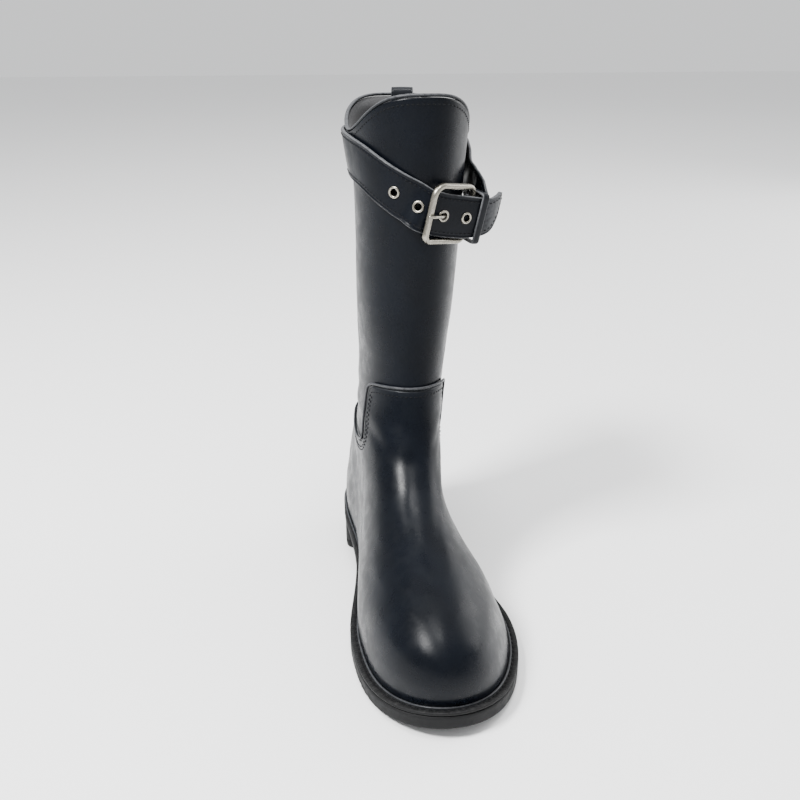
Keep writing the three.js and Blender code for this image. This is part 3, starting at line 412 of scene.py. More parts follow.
def fold_relief(t, a, points, depth):
    """Height of the leather's soft folds: each is a bell-shaped trough along a short leaning line with a low
    ridge on one side, and three slow waves lie under them all."""
    degrees = (np.degrees(a) + 180) % 360 - 180
    z = points[..., 2]
    relief = np.zeros(z.shape)
    for middle, height, lean, reach, width, deep in FOLDS:
        across = ((degrees - middle + 180) % 360 - 180) * DEGREE_RUN
        up = z - height
        c, s = math.cos(math.radians(lean)), math.sin(math.radians(lean))
        run, side = across * c + up * s, up * c - across * s
        bow = side + run * run / (9 * reach)
        shape = bell(bow / width) - 0.35 * bell((bow - 1.9 * width) / width)
        relief -= deep * shape * bell(run / reach) ** 1.5
    wave = 0.16 * np.sin(z / 17 + 2.2 * np.sin(a)) * np.cos(2 * a + z / 41)
    wave += 0.12 * np.sin(3 * a + z / 23 + 1)
    calm = smooth((270 - z) / 40)
    foot = smooth((z - 26) / 20)
    return depth * relief * foot + wave * calm * foot


# Meshes.
def grid_faces(rows, columns, close_rows=False, close_columns=False):
    """The four-cornered faces of a grid whose points run row by row."""
    i = np.arange(rows if close_rows else rows - 1)[:, None]
    j = np.arange(columns if close_columns else columns - 1)[None, :]
    i2, j2 = (i + 1) % rows, (j + 1) % columns
    corners = [i * columns + j, i * columns + j2, i2 * columns + j2, i2 * columns + j]
    return np.stack(np.broadcast_arrays(*corners), -1).reshape(-1, 4)


def tube_faces(rows, columns, closed):
    """Faces of a tube: a closed ring of columns carried along rows, its ends joined or capped."""
    faces = grid_faces(rows, columns, close_rows=closed, close_columns=True).tolist()
    if not closed:
        faces.append(list(range(columns))[::-1])
        faces.append(list(range((rows - 1) * columns, rows * columns)))
    return faces


def volume_of(points, faces):
    """Signed volume of a closed body, from its faces' fans."""
    total = 0.0
    for size in {len(f) for f in faces}:
        corners = points[np.array([f for f in faces if len(f) == size])]
        for k in range(1, size - 1):
            total += np.einsum("ij,ij->i", corners[:, 0],
                               np.cross(corners[:, k], corners[:, k + 1])).sum() / 6
    return total


def facing_out(points, faces):
    """A closed body with its faces turned outward."""
    points = np.asarray(points, float).reshape(-1, 3)
    inward = volume_of(points, faces) < 0
    return points, [list(f)[::-1] for f in faces] if inward else faces


def joined(bodies):
    """Many closed bodies as one list of points and one of faces."""
    points, faces, start = [], [], 0
    for corners, body_faces in bodies:
        corners = corners.reshape(-1, 3)
        points.append(corners)
        faces.extend([[k + start for k in f] for f in body_faces])
        start += len(corners)
    return np.concatenate(points), faces


def tube(points, closed=True):
    """A closed body from a closed ring of columns carried along rows."""
    return points, tube_faces(*points.shape[:2], closed)


def make_piece(name, bodies, finishes, replaces=(), wear_and_highlight=None, kinds=0, weld=False):
    """One object from closed bodies, each its points in millimetres and its faces. Its mark of rubbing and
    painted highlight says at each point how pale that point is made, kinds which of the finishes each face
    has."""
    points, faces = joined(facing_out(*body) for body in bodies)
    mesh = bpy.data.meshes.new(name)
    mesh.from_pydata((points * MM).tolist(), [], faces)
    kinds = np.broadcast_to(kinds, len(faces)).astype(np.int32)
    mesh.polygons.foreach_set("material_index", kinds)
    mesh.polygons.foreach_set("use_smooth", np.ones(len(faces), bool))
    if wear_and_highlight is not None:
        # Each point's share of rubbing and painted highlight is kept as the attribute edge.
        attribute = mesh.attributes.new("edge", "FLOAT", "POINT")
        attribute.data.foreach_set("value", np.asarray(wear_and_highlight, np.float32).ravel())
    if weld:
        body = bmesh.new()
        body.from_mesh(mesh)
        bmesh.ops.remove_doubles(body, verts=body.verts, dist=1e-6)
        body.to_mesh(mesh)
        body.free()
    for finish in finishes.split():
        mesh.materials.append(finish_named(finish))
    mesh.update()
    piece = bpy.data.objects.new(name, mesh)
    bpy.context.scene.collection.objects.link(piece)
    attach(piece, "root")
    if replaces:
        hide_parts(*replaces)
    return piece


def run_of(path):
    """How far along a path each of its places lies."""
    return np.concatenate([[0], np.cumsum(np.linalg.norm(np.diff(path, axis=0), axis=1))])


def turns(count):
    """The angles of a full turn in even steps."""
    return np.arange(count) / count * 2 * np.pi


def even_path(path, pitch, closed):
    """Places at an even pitch along a path, as row numbers with fractions."""
    loop = np.vstack([path, path[:1]]) if closed else path
    run = run_of(loop)
    count = max(int(run[-1] / pitch), 2)
    wanted = (np.arange(count) + 0.5) * run[-1] / count
    return np.interp(wanted, run, np.arange(len(loop)))


def sample(rows, places, closed):
    """Rows of a table read at places between them."""
    loop = np.vstack([rows, rows[:1]]) if closed else rows
    i = np.clip(places.astype(int), 0, len(loop) - 2)
    return mix(loop[i], loop[i + 1], (places - i)[:, None])


def stitch_row(path, normals, pitch, length, radius, closed=False):
    """A row of stitches: at even places along the path stands a short thread, a tube whose
    middle is proud of the leather and whose ends sink into it by a square law."""
    places = even_path(path, pitch, closed)
    at = sample(path, places, closed)
    up = unit(sample(normals, places, closed))
    ahead = sample(path, np.minimum(places + 0.5, len(path) - (0 if closed else 1)), closed)
    behind = sample(path, np.maximum(places - 0.5, 0), closed)
    forward = ahead - behind
    forward = unit(forward - up * np.sum(forward * up, -1, keepdims=True))
    side = np.cross(up, forward)
    s = np.array([-1, -0.82, -0.45, 0, 0.45, 0.82, 1])[:, None]
    turn = turns(6)[None, :]
    width = radius * np.sqrt(np.clip(1.02 - s ** 4, 0, 1))
    x = np.broadcast_to(s * length / 2, (7, 6))
    y = width * np.cos(turn)
    z = radius * (0.75 - 1.5 * s * s) + 0.85 * width * np.sin(turn)
    local = np.stack([x, y, z], -1).reshape(1, -1, 3)
    axes = np.stack([forward, side, up], 1)
    points = at[:, None, :] + np.einsum("nkc,ncd->nkd", np.repeat(local, len(at), 0), axes)
    one = tube_faces(7, 6, False)
    return [(cloud, one) for cloud in points]


def stitches(name, rows):
    """All stitches of some rows as one object."""
    make_piece(name, [joined(rows)], "thread")


# Lines on the last.
def line_beside(level, a, drop):
    """A line that keeps a distance under another on the last: each place moves square to the
    line in the surface, solved for the two slopes there."""
    t = level(a)
    at = boot(t, a)
    forward = unit(np.roll(at, -1, 0) - np.roll(at, 1, 0))
    face = outward(t, a)
    down = -unit(np.cross(face, forward))
    round_slope, up_slope = slopes(t, a)
    matrix = np.stack([round_slope, up_slope, face], -1)
    steps = np.linalg.solve(matrix, (down * drop)[..., None])[..., 0]
    return t + steps[:, 1] * 2 * STEP, a + steps[:, 0] * 2 * STEP


def ring_rod(level, a, offset, rise, radius, sides, flat=1.0):
    """A closed tube along a line on the last: a circle carried square to the line, moved off
    the surface by an offset and up along it by a rise."""
    t = level(a)
    at = skin(t, a, offset)
    forward = unit(np.roll(at, -1, 0) - np.roll(at, 1, 0))
    side = outward(t, a)
    side = unit(side - forward * np.sum(side * forward, -1, keepdims=True))
    up = unit(np.cross(side, forward))
    at = at + up * rise
    turn = turns(sides)[None, :, None]
    return (at[:, None] + side[:, None] * radius * flat * np.cos(turn)
            + up[:, None] * radius * np.sin(turn))


def feather(a, margin):
    """A place beside the feather edge in plan: the last's lowest ring moved out square to
    itself by a margin."""
    a, margin = np.broadcast_arrays(np.asarray(a, float), np.asarray(margin, float))
    forward = boot(0, a + STEP) - boot(0, a - STEP)
    out = unit(np.stack([forward[..., 1], -forward[..., 0]], -1))
    return boot(0, a)[..., :2] + out * margin[..., None]


def edge_margin(a):
    """How far the sole stands out from the upper: wide at the forefoot, narrow at the seat."""
    share = smooth((boot(0, a)[..., 1] / LENGTH - CLIMB_START) / -CLIMB_START)
    return mix(WELT_MARGIN, SEAT_MARGIN, share)


def even_angles(count):
    """Angles round the last at even distances along the sole's edge."""
    a = np.linspace(-np.pi, np.pi, 2881)
    run = run_of(feather(a, edge_margin(a)))
    return np.interp(np.arange(count) / count * run[-1], run, a)


def raised(plan, height):
    """Places in plan lifted to a height that depends on how far back they lie."""
    return np.concatenate([plan, height(plan[..., 1])[..., None]], -1)


# The buckle's own frame.
def turned_about(vector, axis, degrees):
    """A vector turned about an axis of unit length."""
    c, s = math.cos(math.radians(degrees)), math.sin(math.radians(degrees))
    return vector * c + np.cross(axis, vector) * s + axis * np.dot(axis, vector) * (1 - c)


def buckle_axes():
    """The strap's way along, up and out at the buckle, and the buckle's middle: square axes
    turned down, leaned out and turned in from the shaft under it."""
    a = math.radians(BUCKLE_ANGLE)
    t = level_at(a, BUCKLE_LEVEL * BOOT_HEIGHT)
    out = outward(t, a)
    away = turned_about(unit(np.array([out[0], out[1], 0])), np.array([0, 0, 1]), BUCKLE_TURN)
    level = np.array([-away[1], away[0], 0])
    lean = math.radians(BUCKLE_LEAN)
    upright = np.array([0, 0, math.cos(lean)]) + away * math.sin(lean)
    n = np.cross(level, upright)
    u = turned_about(level, n, -BUCKLE_DROP)
    return u, np.cross(n, u), n, skin(t, a, BUCKLE_STANDOFF) + u * BUCKLE_OFFSET


ALONG, ACROSS, OUT, MIDDLE = buckle_axes()
AXES = np.stack([ALONG, ACROSS, OUT])


def at_buckle(places):
    """Places given along, across and out of the buckle, in the boot's own axes."""
    return MIDDLE + np.asarray(places, float) @ AXES


HEEL_BAR = (FRAME_LENGTH / 2, -GAP - CHAPE_THICKNESS - GAP - BAR_RADIUS)
FRONT_BAR = (-FRAME_LENGTH / 2, STRAP_THICKNESS + GAP + BAR_RADIUS)
MID = STRAP_THICKNESS / 2
HALF_STRAP = STRAP_WIDTH / 2


# Straps.
def curve_through(points, steps):
    """A smooth curve through points whose spans are timed by the square root of their length."""
    p = np.vstack([2 * points[0] - points[1], points, 2 * points[-1] - points[-2]])
    d = np.sqrt(np.linalg.norm(np.diff(p, axis=0), axis=1))[:, None]
    x0, x1, x2, x3 = p[:-3], p[1:-2], p[2:-1], p[3:]
    d0, d1, d2 = d[:-2], d[1:-1], d[2:]
    t1 = ((x1 - x0) / d0 - (x2 - x0) / (d0 + d1) + (x2 - x1) / d1) * d1
    t2 = ((x2 - x1) / d1 - (x3 - x1) / (d1 + d2) + (x3 - x2) / d2) * d1
    u = (np.arange(steps) / steps)[None, :, None]
    spans = (x1[:, None] + t1[:, None] * u + (3 * x2 - 3 * x1 - 2 * t1 - t2)[:, None] * u ** 2
             + (2 * x1 - 2 * x2 + t1 + t2)[:, None] * u ** 3)
    return np.vstack([spans.reshape(-1, 3), points[-1:]])


def strap_line(points, faces, steps):
    """Middle line, faces and run of a strap: a smooth curve through its places, with the way
    it faces turned evenly between them."""
    at = curve_through(points, steps)
    share = np.arange(len(at)) / steps
    face = unit(np.stack([np.interp(share, np.arange(len(faces)), faces[:, k]) for k in range(3)], -1))
    return at, face, run_of(at)


def on_shaft(route, offset):
    """Places of a strap's route on the shaft and the way the shaft faces there."""
    degrees, level = np.radians([r[0] for r in route]), np.array([r[1] for r in route])
    t = level_at(degrees, level * BOOT_HEIGHT)
    return skin(t, degrees, offset), outward(t, degrees)


def bent(rows):
    """The way a strap faces at rows given in the buckle's frame, each turned about its width."""
    return np.array([turned_about(OUT, ACROSS, row[3]) for row in rows])


def square_axes(at, face):
    """Across and outward axes of a strap, square to its run."""
    forward = np.gradient(at, axis=0)
    normal = unit(face - forward * np.sum(face * forward, -1, keepdims=True)
                  / np.sum(forward * forward, -1, keepdims=True))
    return unit(np.cross(normal, unit(forward))), normal


def billet_line(steps=12):
    """The billet: its line, axes, upper and lower half-widths and run."""
    on, facing = on_shaft(BILLET_ROUTE, STRAP_STANDOFF + MID)
    rows = np.array(BUCKLE_ROUTE + BILLET_TAIL)
    lift = np.concatenate([np.full(len(BUCKLE_ROUTE), MID), np.zeros(len(BILLET_TAIL))])
    places = rows[:, :3] * FRAME_LENGTH + np.stack([0 * lift, 0 * lift, lift], -1)
    at, face, run = strap_line(np.vstack([on, at_buckle(places)]), np.vstack([facing, bent(rows)]), steps)
    flare = STRAP_FLARE * (1 - smooth(run / (FLARE_SHARE * run[-1])))
    left = np.clip((run[-1] - run) / TIP_LENGTH, 0, 1)
    cut = 1 - np.sqrt(1 - (1 - left) ** 2)
    high = HALF_STRAP + flare - TIP_DROP * cut
    low = mix(-HALF_STRAP - flare, high - TIP_WIDTH, cut)
    across, normal = square_axes(at, face)
    return at, across, normal, high, low, run


def chape_line(steps=10, bar_steps=18):
    """The chape: over the shaft in a free loop, behind the buckle, round its bar by a half
    circle and back under itself."""
    loop = np.array([r[2] for r in CHAPE_ROUTE]) * STRAP_WIDTH
    on, facing = on_shaft(CHAPE_ROUTE, STRAP_STANDOFF + MID + loop)
    tail = np.array(CHAPE_TAIL)
    bar_u, bar_n = HEEL_BAR
    inner = [[bar_u + u * FRAME_LENGTH, FRAME_LIFT, -GAP - CHAPE_THICKNESS / 2] for u in CHAPE_RUN]
    points = np.vstack([on, at_buckle(tail[:, :3] * FRAME_LENGTH), at_buckle(inner)])
    faces = np.vstack([facing, bent(tail), np.repeat(OUT[None], len(inner), 0)])
    at, face, run = strap_line(points, faces, steps)
    narrow = CHAPE_NARROWING * smooth((run - run[-1] + CHAPE_TAPER) / CHAPE_TAPER)
    half = HALF_STRAP + STRAP_FLARE * (1 - smooth(run / (FLARE_SHARE * run[-1]))) - narrow
    reach = BAR_RADIUS + GAP + CHAPE_THICKNESS / 2
    turn = np.linspace(0, np.pi, bar_steps)
    lift = np.full(bar_steps, FRAME_LIFT)
    wrap = at_buckle(np.stack([bar_u - reach * np.sin(turn), lift, bar_n + reach * np.cos(turn)], -1))
    wrap_face = OUT * np.cos(turn)[:, None] - ALONG * np.sin(turn)[:, None]
    end = at_buckle([[bar_u + s * CHAPE_FOLD, FRAME_LIFT, bar_n - reach] for s in (0.5, 1)])
    at = np.vstack([at, wrap, end])
    face = np.vstack([face, wrap_face, -OUT[None], -OUT[None]])
    half = np.concatenate([half, np.full(bar_steps + 2, HALF_STRAP - CHAPE_NARROWING)])
    across, normal = square_axes(at, face)
    return at, across, normal, half, -half


EDGE_DROPS = np.array([0.9, 1.5, 1.9, 2.2, 2.5, 3, 4.4, 7, 10.5])


def strap_body(at, across, normal, high, low, thickness):
    """A strap: a closed profile carried along its line. The profile has half-round edges, a
    pressed line beside each edge, and a face that crowns a little between them. Also gives how
    near each point is to an edge."""
    h = thickness / 2
    width = (high - low)[:, None]
    scale = np.clip(width / STRAP_WIDTH, 0.1, 1)
    drops = EDGE_DROPS[None] * scale
    crease = 0.2 * scale * bell((EDGE_DROPS[None] - 2.2) / 0.32)
    crown = 0.22 * scale * smooth((EDGE_DROPS[None] - 3) / 8)
    arc = np.linspace(np.pi / 2, -np.pi / 2, 9)[None]
    upper_w = high[:, None] - h * scale + h * scale * np.cos(arc)
    lower_w = low[:, None] + h * scale - h * scale * np.cos(arc)
    # The round edges are as high as the square of half the thickness: proud of a thick strap.
    round_n = np.broadcast_to(h * np.sin(arc) * h, upper_w.shape)
    face_n = h - crease + crown
    w = np.concatenate([
        low[:, None] + drops, high[:, None] - drops[:, ::-1], upper_w,
        high[:, None] - drops[:, ::2], low[:, None] + drops[:, ::-2], lower_w[:, ::-1]], 1)
    n = np.concatenate([
        face_n, face_n[:, ::-1], round_n,
        np.full_like(drops[:, ::2], -h), np.full_like(drops[:, ::2], -h), round_n[:, ::-1]], 1)
    points = at[:, None] + across[:, None] * w[..., None] + normal[:, None] * n[..., None]
    near = np.minimum(high[:, None] - w, w - low[:, None])
    edge = 1 - smooth((near - 0.15 * scale) / (0.75 * scale))
    return points, edge


def strap_side(at, across, normal, place, thickness):
    """A line along a strap's face, at places across it."""
    return at + across * place[:, None] + normal * (thickness / 2)


def cut_holes(piece, points, faces):
    """Cuts closed bodies out of a piece and drops the cutters."""
    points, faces = facing_out(points, faces)
    mesh = bpy.data.meshes.new("cutter")
    mesh.from_pydata((points * MM).tolist(), [], faces)
    cutter = bpy.data.objects.new("cutter", mesh)
    bpy.context.scene.collection.objects.link(cutter)
    cut = piece.modifiers.new("holes", "BOOLEAN")
    cut.operation = "DIFFERENCE"
    cut.solver = "EXACT"
    cut.object = cutter
    bpy.context.view_layer.update()
    evaluated = piece.evaluated_get(bpy.context.evaluated_depsgraph_get())
    result = bpy.data.meshes.new_from_object(evaluated)
    body = bmesh.new()
    body.from_mesh(result)
    if body.calc_volume(signed=True) < 0:
        bmesh.ops.reverse_faces(body, faces=body.faces)
    body.to_mesh(result)
    body.free()
    piece.modifiers.clear()
    piece.data = result
    bpy.data.objects.remove(cutter)


# Eyelets.
def eyelet_spots():
    """Middles and faces of the four eyelets: two in the buckle's frame and two back along the
    billet at the same pitch."""
    at, _, normal, _, _, run = billet_line()
    first = at_buckle([[PRONG_EYE, 0, MID]])[0]
    home = run[np.argmin(np.linalg.norm(at - first, axis=1))]
    places, faces = [], []
    for step in (-2, -1):
        wanted = home + step * EYELET_PITCH
        places.append([np.interp(wanted, run, at[:, k]) for k in range(3)])
        faces.append([np.interp(wanted, run, normal[:, k]) for k in range(3)])
    for step in (0, 1):
        places.append(at_buckle([PRONG_EYE + step * EYELET_PITCH, 0, MID]))
        faces.append(OUT)
    return np.array(places), unit(np.array(faces))


def turned_ring(at, face, outline, sides):
    """A ring turned about an axis from its outline of radius and height."""
    side = unit(np.cross([0, 0, 1], face))
    up = np.cross(face, side)
    turn = turns(sides)[:, None, None]
    radius, height = np.array(outline)[None, :, :1], np.array(outline)[None, :, 1:]
    return at + side * radius * np.cos(turn) + up * radius * np.sin(turn) + face * height


# Shader node groups and materials.
def put(tree, value, socket):
    """Gives a socket its value: a constant or another socket."""
    if isinstance(value, (int, float, tuple)):
        socket.default_value = value
    else:
        tree.links.new(value, socket)


def add_node(tree, kind, inputs=None, **settings):
    """A node with its settings and with values on its own sockets."""
    made = tree.nodes.new(kind)
    for name, value in settings.items():
        setattr(made, name, value)
    for name, value in (inputs or {}).items():
        put(tree, value, made.inputs[name])
    return made


def noise(tree, place, scale, detail, roughness=0.5):
    """The value of a noise at a place."""
    return add_node(tree, "ShaderNodeTexNoise", inputs={
        "Vector": place, "Scale": scale, "Detail": detail, "Roughness": roughness}).outputs["Fac"]


def math_node(tree, operation, first, second, clamp=False):
    """A sum on two sockets or values."""
    made = add_node(tree, "ShaderNodeMath", operation=operation, use_clamp=clamp)
    put(tree, first, made.inputs[0])
    put(tree, second, made.inputs[1])
    return made.outputs[0]


def mix_colours(tree, share, first, second):
    """A colour between two, by a share."""
    made = add_node(tree, "ShaderNodeMix", data_type="RGBA")
    for socket, value in ((0, share), (6, first), (7, second)):
        put(tree, value, made.inputs[socket])
    return made.outputs[2]


def ramp(tree, value, low, high, out_low=0.0, out_high=1.0):
    """A socket's range carried smoothly onto another range."""
    return add_node(tree, "ShaderNodeMapRange", interpolation_type="SMOOTHSTEP", inputs={
        "Value": value, "From Min": low, "From Max": high, "To Min": out_low,
        "To Max": out_high}).outputs["Result"]


def new_group(name, inputs, outputs):
    """A node group with named sockets: its tree, what comes in and what goes out. A place comes
    in first, a tuple is a colour and a number a value."""
    tree = bpy.data.node_groups.new(name, "ShaderNodeTree")
    tree.interface.new_socket("Place", in_out="INPUT", socket_type="NodeSocketVector")
    for socket, value in inputs.items():
        kind = "NodeSocketColor" if isinstance(value, tuple) else "NodeSocketFloat"
        tree.interface.new_socket(socket, in_out="INPUT", socket_type=kind).default_value = value
    for socket in outputs:
        kind = "NodeSocketColor" if socket == "Colour" else "NodeSocketFloat"
        tree.interface.new_socket(socket, in_out="OUTPUT", socket_type=kind)
    return tree, tree.nodes.new("NodeGroupInput").outputs, tree.nodes.new("NodeGroupOutput").inputs


def grain_group():
    """Leather grain: small pebbles, pores and a slow change of tone."""
    tree, source, sink = new_group("leather_grain", {"Pebble Scale": 900.0}, ("Height", "Tone", "Sheen"))
    place = source["Place"]
    cells = add_node(tree, "ShaderNodeTexVoronoi", feature="SMOOTH_F1", inputs={
        "Vector": place, "Scale": source["Pebble Scale"], "Smoothness": 0.6})
    pebble = math_node(tree, "MULTIPLY", cells.outputs["Distance"], 0.75)
    fine = math_node(tree, "MULTIPLY", noise(tree, place, 2600.0, 3.0), 0.35)
    uneven = ramp(tree, noise(tree, place, 140.0, 2.0), 0.3, 0.7, 0.45, 1.0)
    put(tree, math_node(tree, "MULTIPLY", math_node(tree, "ADD", pebble, fine), uneven), sink["Height"])
    put(tree, ramp(tree, noise(tree, place, 26.0, 4.0, 0.55), 0.3, 0.7), sink["Tone"])
    put(tree, ramp(tree, noise(tree, place, 90.0, 3.0, 0.6), 0.32, 0.68), sink["Sheen"])
    return tree


def wear_and_highlight_group():
    """Rubbed edges and painted highlights: lightens a colour and changes its gloss where a mark says that an
    edge is near, broken up by noise. The paler colour stands partly for real rubbing and partly for
    highlights painted along edges, piping, binding and bars."""
    tree, source, sink = new_group("edge_wear_and_highlight", {
        "Edge": 0.0, "Colour": (0, 0, 0, 1), "Worn Colour": (1, 1, 1, 1), "Roughness": 0.5,
        "Worn Roughness": 0.5}, ("Colour", "Roughness"))
    broken = ramp(tree, noise(tree, source["Place"], 420.0, 4.0), 0.25, 0.6, 0.45, 1.0)
    share = math_node(tree, "MULTIPLY", source["Edge"], broken, clamp=True)
    put(tree, mix_colours(tree, share, source["Colour"], source["Worn Colour"]), sink["Colour"])
    change = math_node(tree, "SUBTRACT", source["Worn Roughness"], source["Roughness"])
    scaled = math_node(tree, "MULTIPLY", change, share)
    put(tree, math_node(tree, "ADD", scaled, source["Roughness"]), sink["Roughness"])
    return tree


def dust_group():
    """Dust: a paler tone on faces that look up, in patches."""
    tree, source, sink = new_group("dust", {
        "Colour": (0, 0, 0, 1), "Dust Colour": (0.12, 0.12, 0.118, 1), "Amount": 0.1}, ("Colour", "Mask"))
    geometry = add_node(tree, "ShaderNodeNewGeometry")
    parts = add_node(tree, "ShaderNodeSeparateXYZ")
    put(tree, geometry.outputs["Normal"], parts.inputs[0])
    upward = ramp(tree, parts.outputs["Z"], 0.2, 1.0)
    patches = ramp(tree, noise(tree, source["Place"], 300.0, 5.0, 0.7), 0.4, 0.7)
    mask = math_node(tree, "MULTIPLY", upward, patches)
    mask = math_node(tree, "MULTIPLY", mask, source["Amount"], clamp=True)
    put(tree, mix_colours(tree, mask, source["Colour"], source["Dust Colour"]), sink["Colour"])
    put(tree, mask, sink["Mask"])
    return tree


def use_group(tree, name, place, **inputs):
    """A shared effect in a material, made the first time it is asked for: what it puts out."""
    makers = {"leather_grain": grain_group, "edge_wear_and_highlight": wear_and_highlight_group, "dust": dust_group}
    group = bpy.data.node_groups.get(name) or makers[name]()
    made = add_node(tree, "ShaderNodeGroup", node_tree=group)
    put(tree, place, made.inputs["Place"])
    for socket, value in inputs.items():
        put(tree, value, made.inputs[socket.replace("_", " ").title()])
    return made.outputs


def new_material(name):
    """An empty material: its tree, its shader's sockets and the piece's own coordinates."""
    material = bpy.data.materials.new(name)
    material.use_nodes = True
    tree = material.node_tree
    place = add_node(tree, "ShaderNodeTexCoord").outputs["Object"]
    return material, tree, tree.nodes["Principled BSDF"].inputs, place


def dress(tree, shader, values, height=None, strength=0.0, distance=0.0):
    """Gives a shader's own sockets their values, and a height as small relief."""
    for socket, value in values.items():
        put(tree, value, shader[socket])
    if height:
        relief = add_node(tree, "ShaderNodeBump", inputs={
            "Height": height, "Strength": strength, "Distance": distance})
        put(tree, relief.outputs["Normal"], shader["Normal"])


def shade(colour, factor=1.0):
    """A colour made lighter or darker, with full cover."""
    return tuple(min(c * factor, 1.0) for c in colour) + (1.0,)


def between(tree, share, colour, low, high):
    """A colour between two shades of itself."""
    return mix_colours(tree, share, shade(colour, low), shade(colour, high))


def edge_wear_and_highlight(tree, place, **inputs):
    """The shared rubbed edges and painted highlights, led by the piece's own mark."""
    mark = add_node(tree, "ShaderNodeAttribute", attribute_name="edge").outputs["Fac"]
    worn_and_highlighted = use_group(tree, "edge_wear_and_highlight", place, edge=mark, **inputs)
    return {"Base Color": worn_and_highlighted["Colour"], "Roughness": worn_and_highlighted["Roughness"]}


def leather_material(name, colour, wear_and_highlight, roughness, pebbles, strength):
    """Leather: grained, with a slow change of tone and gloss, and with pale edges, partly rubbed and partly a
    painted highlight.
    """
    material, tree, shader, place = new_material(name)
    grain = use_group(tree, "leather_grain", place, pebble_scale=pebbles)
    gloss = ramp(tree, grain["Sheen"], 0, 1, roughness - 0.05, roughness + 0.05)
    worn_and_highlighted = edge_wear_and_highlight(tree, place, colour=between(tree, grain["Tone"], colour, 0.8, 1.2),
                     worn_colour=shade(wear_and_highlight), roughness=gloss, worn_roughness=0.34)
    dress(tree, shader, {**worn_and_highlighted, "Specular IOR Level": 0.1}, grain["Height"], strength, 0.00022)
    return material


def lining_material(name, colour):
    """Lining: a matt knitted cloth whose ribs and fuzz are small relief."""
    material, tree, shader, place = new_material(name)
    weave = add_node(tree, "ShaderNodeTexVoronoi", inputs={"Vector": place, "Scale": 1100.0})
    height = math_node(tree, "ADD", noise(tree, place, 1900.0, 4.0), weave.outputs["Distance"])
    share = ramp(tree, noise(tree, place, 60.0, 3.0), 0.3, 0.7)
    dress(tree, shader, {"Base Color": between(tree, share, colour, 0.85, 1.12), "Roughness": 0.88,
                         "Sheen Weight": 0.2}, height, 0.5, 0.0003)
    return material


def rubber_material(name, colour, roughness, dust):
    """Moulded rubber: matt, finely pitted, with dust on what faces up."""
    material, tree, shader, place = new_material(name)
    pits = noise(tree, place, 1500.0, 4.0, 0.7)
    share = ramp(tree, noise(tree, place, 130.0, 5.0, 0.65), 0.35, 0.7)
    dusty = use_group(tree, "dust", place, colour=between(tree, share, colour, 0.8, 1.35), amount=dust)
    gloss = ramp(tree, share, 0, 1, roughness - 0.06, roughness + 0.08)
    dress(tree, shader, {"Base Color": dusty["Colour"], "Roughness": gloss, "Specular IOR Level": 0.12},
          pits, 0.45, 0.00025)
    return material


def metal_material(name, colour):
    """Antique silver: soft gloss with darker patina in patches and fine rubbed marks, paler and glossier
    where the piece's mark says, partly rubbed metal and partly a painted highlight.
    """
    material, tree, shader, place = new_material(name)
    share = ramp(tree, noise(tree, place, 320.0, 5.0, 0.6), 0.4, 0.8)
    worn_and_highlighted = edge_wear_and_highlight(tree, place, colour=between(tree, share, colour, 1.0, 0.74),
                     worn_colour=shade(colour, 1.6), worn_roughness=0.24,
                     roughness=ramp(tree, share, 0, 1, 0.27, 0.42))
    dress(tree, shader, {**worn_and_highlighted, "Metallic": 1.0}, noise(tree, place, 1700.0, 3.0), 0.12, 0.00008)
    return material


def thread_material(name, colour):
    """Waxed thread: twisted strands as fine waves, with painted shade in their low places and a painted
    highlight on their crests.
    """
    material, tree, shader, place = new_material(name)
    twist_relief_and_shade = add_node(tree, "ShaderNodeTexWave", inputs={
        "Vector": place, "Scale": 900.0, "Distortion": 2.0}).outputs["Fac"]
    # The waves that give the relief also make the colour darker in their low places and lighter on their
    # crests: painted shade and highlight.
    dress(tree, shader, {"Base Color": between(tree, twist_relief_and_shade, colour, 0.7, 1.25), "Roughness": 0.6,
                         "Specular IOR Level": 0.1}, twist_relief_and_shade, 0.4, 0.0001)
    return material


def floor_material(name, colour):
    """A plain pale floor with the faintest change of tone."""
    material, tree, shader, place = new_material(name)
    tone = between(tree, noise(tree, place, 1.3, 2.0), colour, 0.985, 1.0)
    dress(tree, shader, {"Base Color": tone, "Roughness": 0.6})
    return material


# Add-on properties.
def length_setting(name, description, metres):
    """A setting in metres."""
    return bpy.props.FloatProperty(
        name=name, description=description, default=metres, unit="LENGTH", subtype="DISTANCE")


def colour_setting(name, description, *value):
    """A setting that is a colour."""
    return bpy.props.FloatVectorProperty(
        name=name, description=description, default=value, size=3, min=0, max=1, subtype="COLOR")


class BootSizes(bpy.types.PropertyGroup):
    """Sizes of the boot's fine details."""

    fold_depth: bpy.props.FloatProperty(
        name="Fold depth", description="Strength of the soft folds in the leather",
        default=1.0, min=0, max=2, subtype="FACTOR")
    stitch_pitch: length_setting("Stitch pitch", "From one stitch of the upper to the next", 0.0033)
    thread_radius: length_setting("Thread radius", "Radius of the upper's thread", 0.00034)
    welt_pitch: length_setting("Welt stitch pitch", "From one stitch of the welt to the next", 0.0044)
    seam_drop: length_setting("Seam drop", "From the foot panel's edge down to its stitches", 0.0042)
    topline_drop: length_setting("Topline drop", "From the collar down to its stitches", 0.0038)
    pebble_scale: bpy.props.FloatProperty(
        name="Grain scale", description="Pebbles of leather grain in a metre",
        default=950.0, min=100)


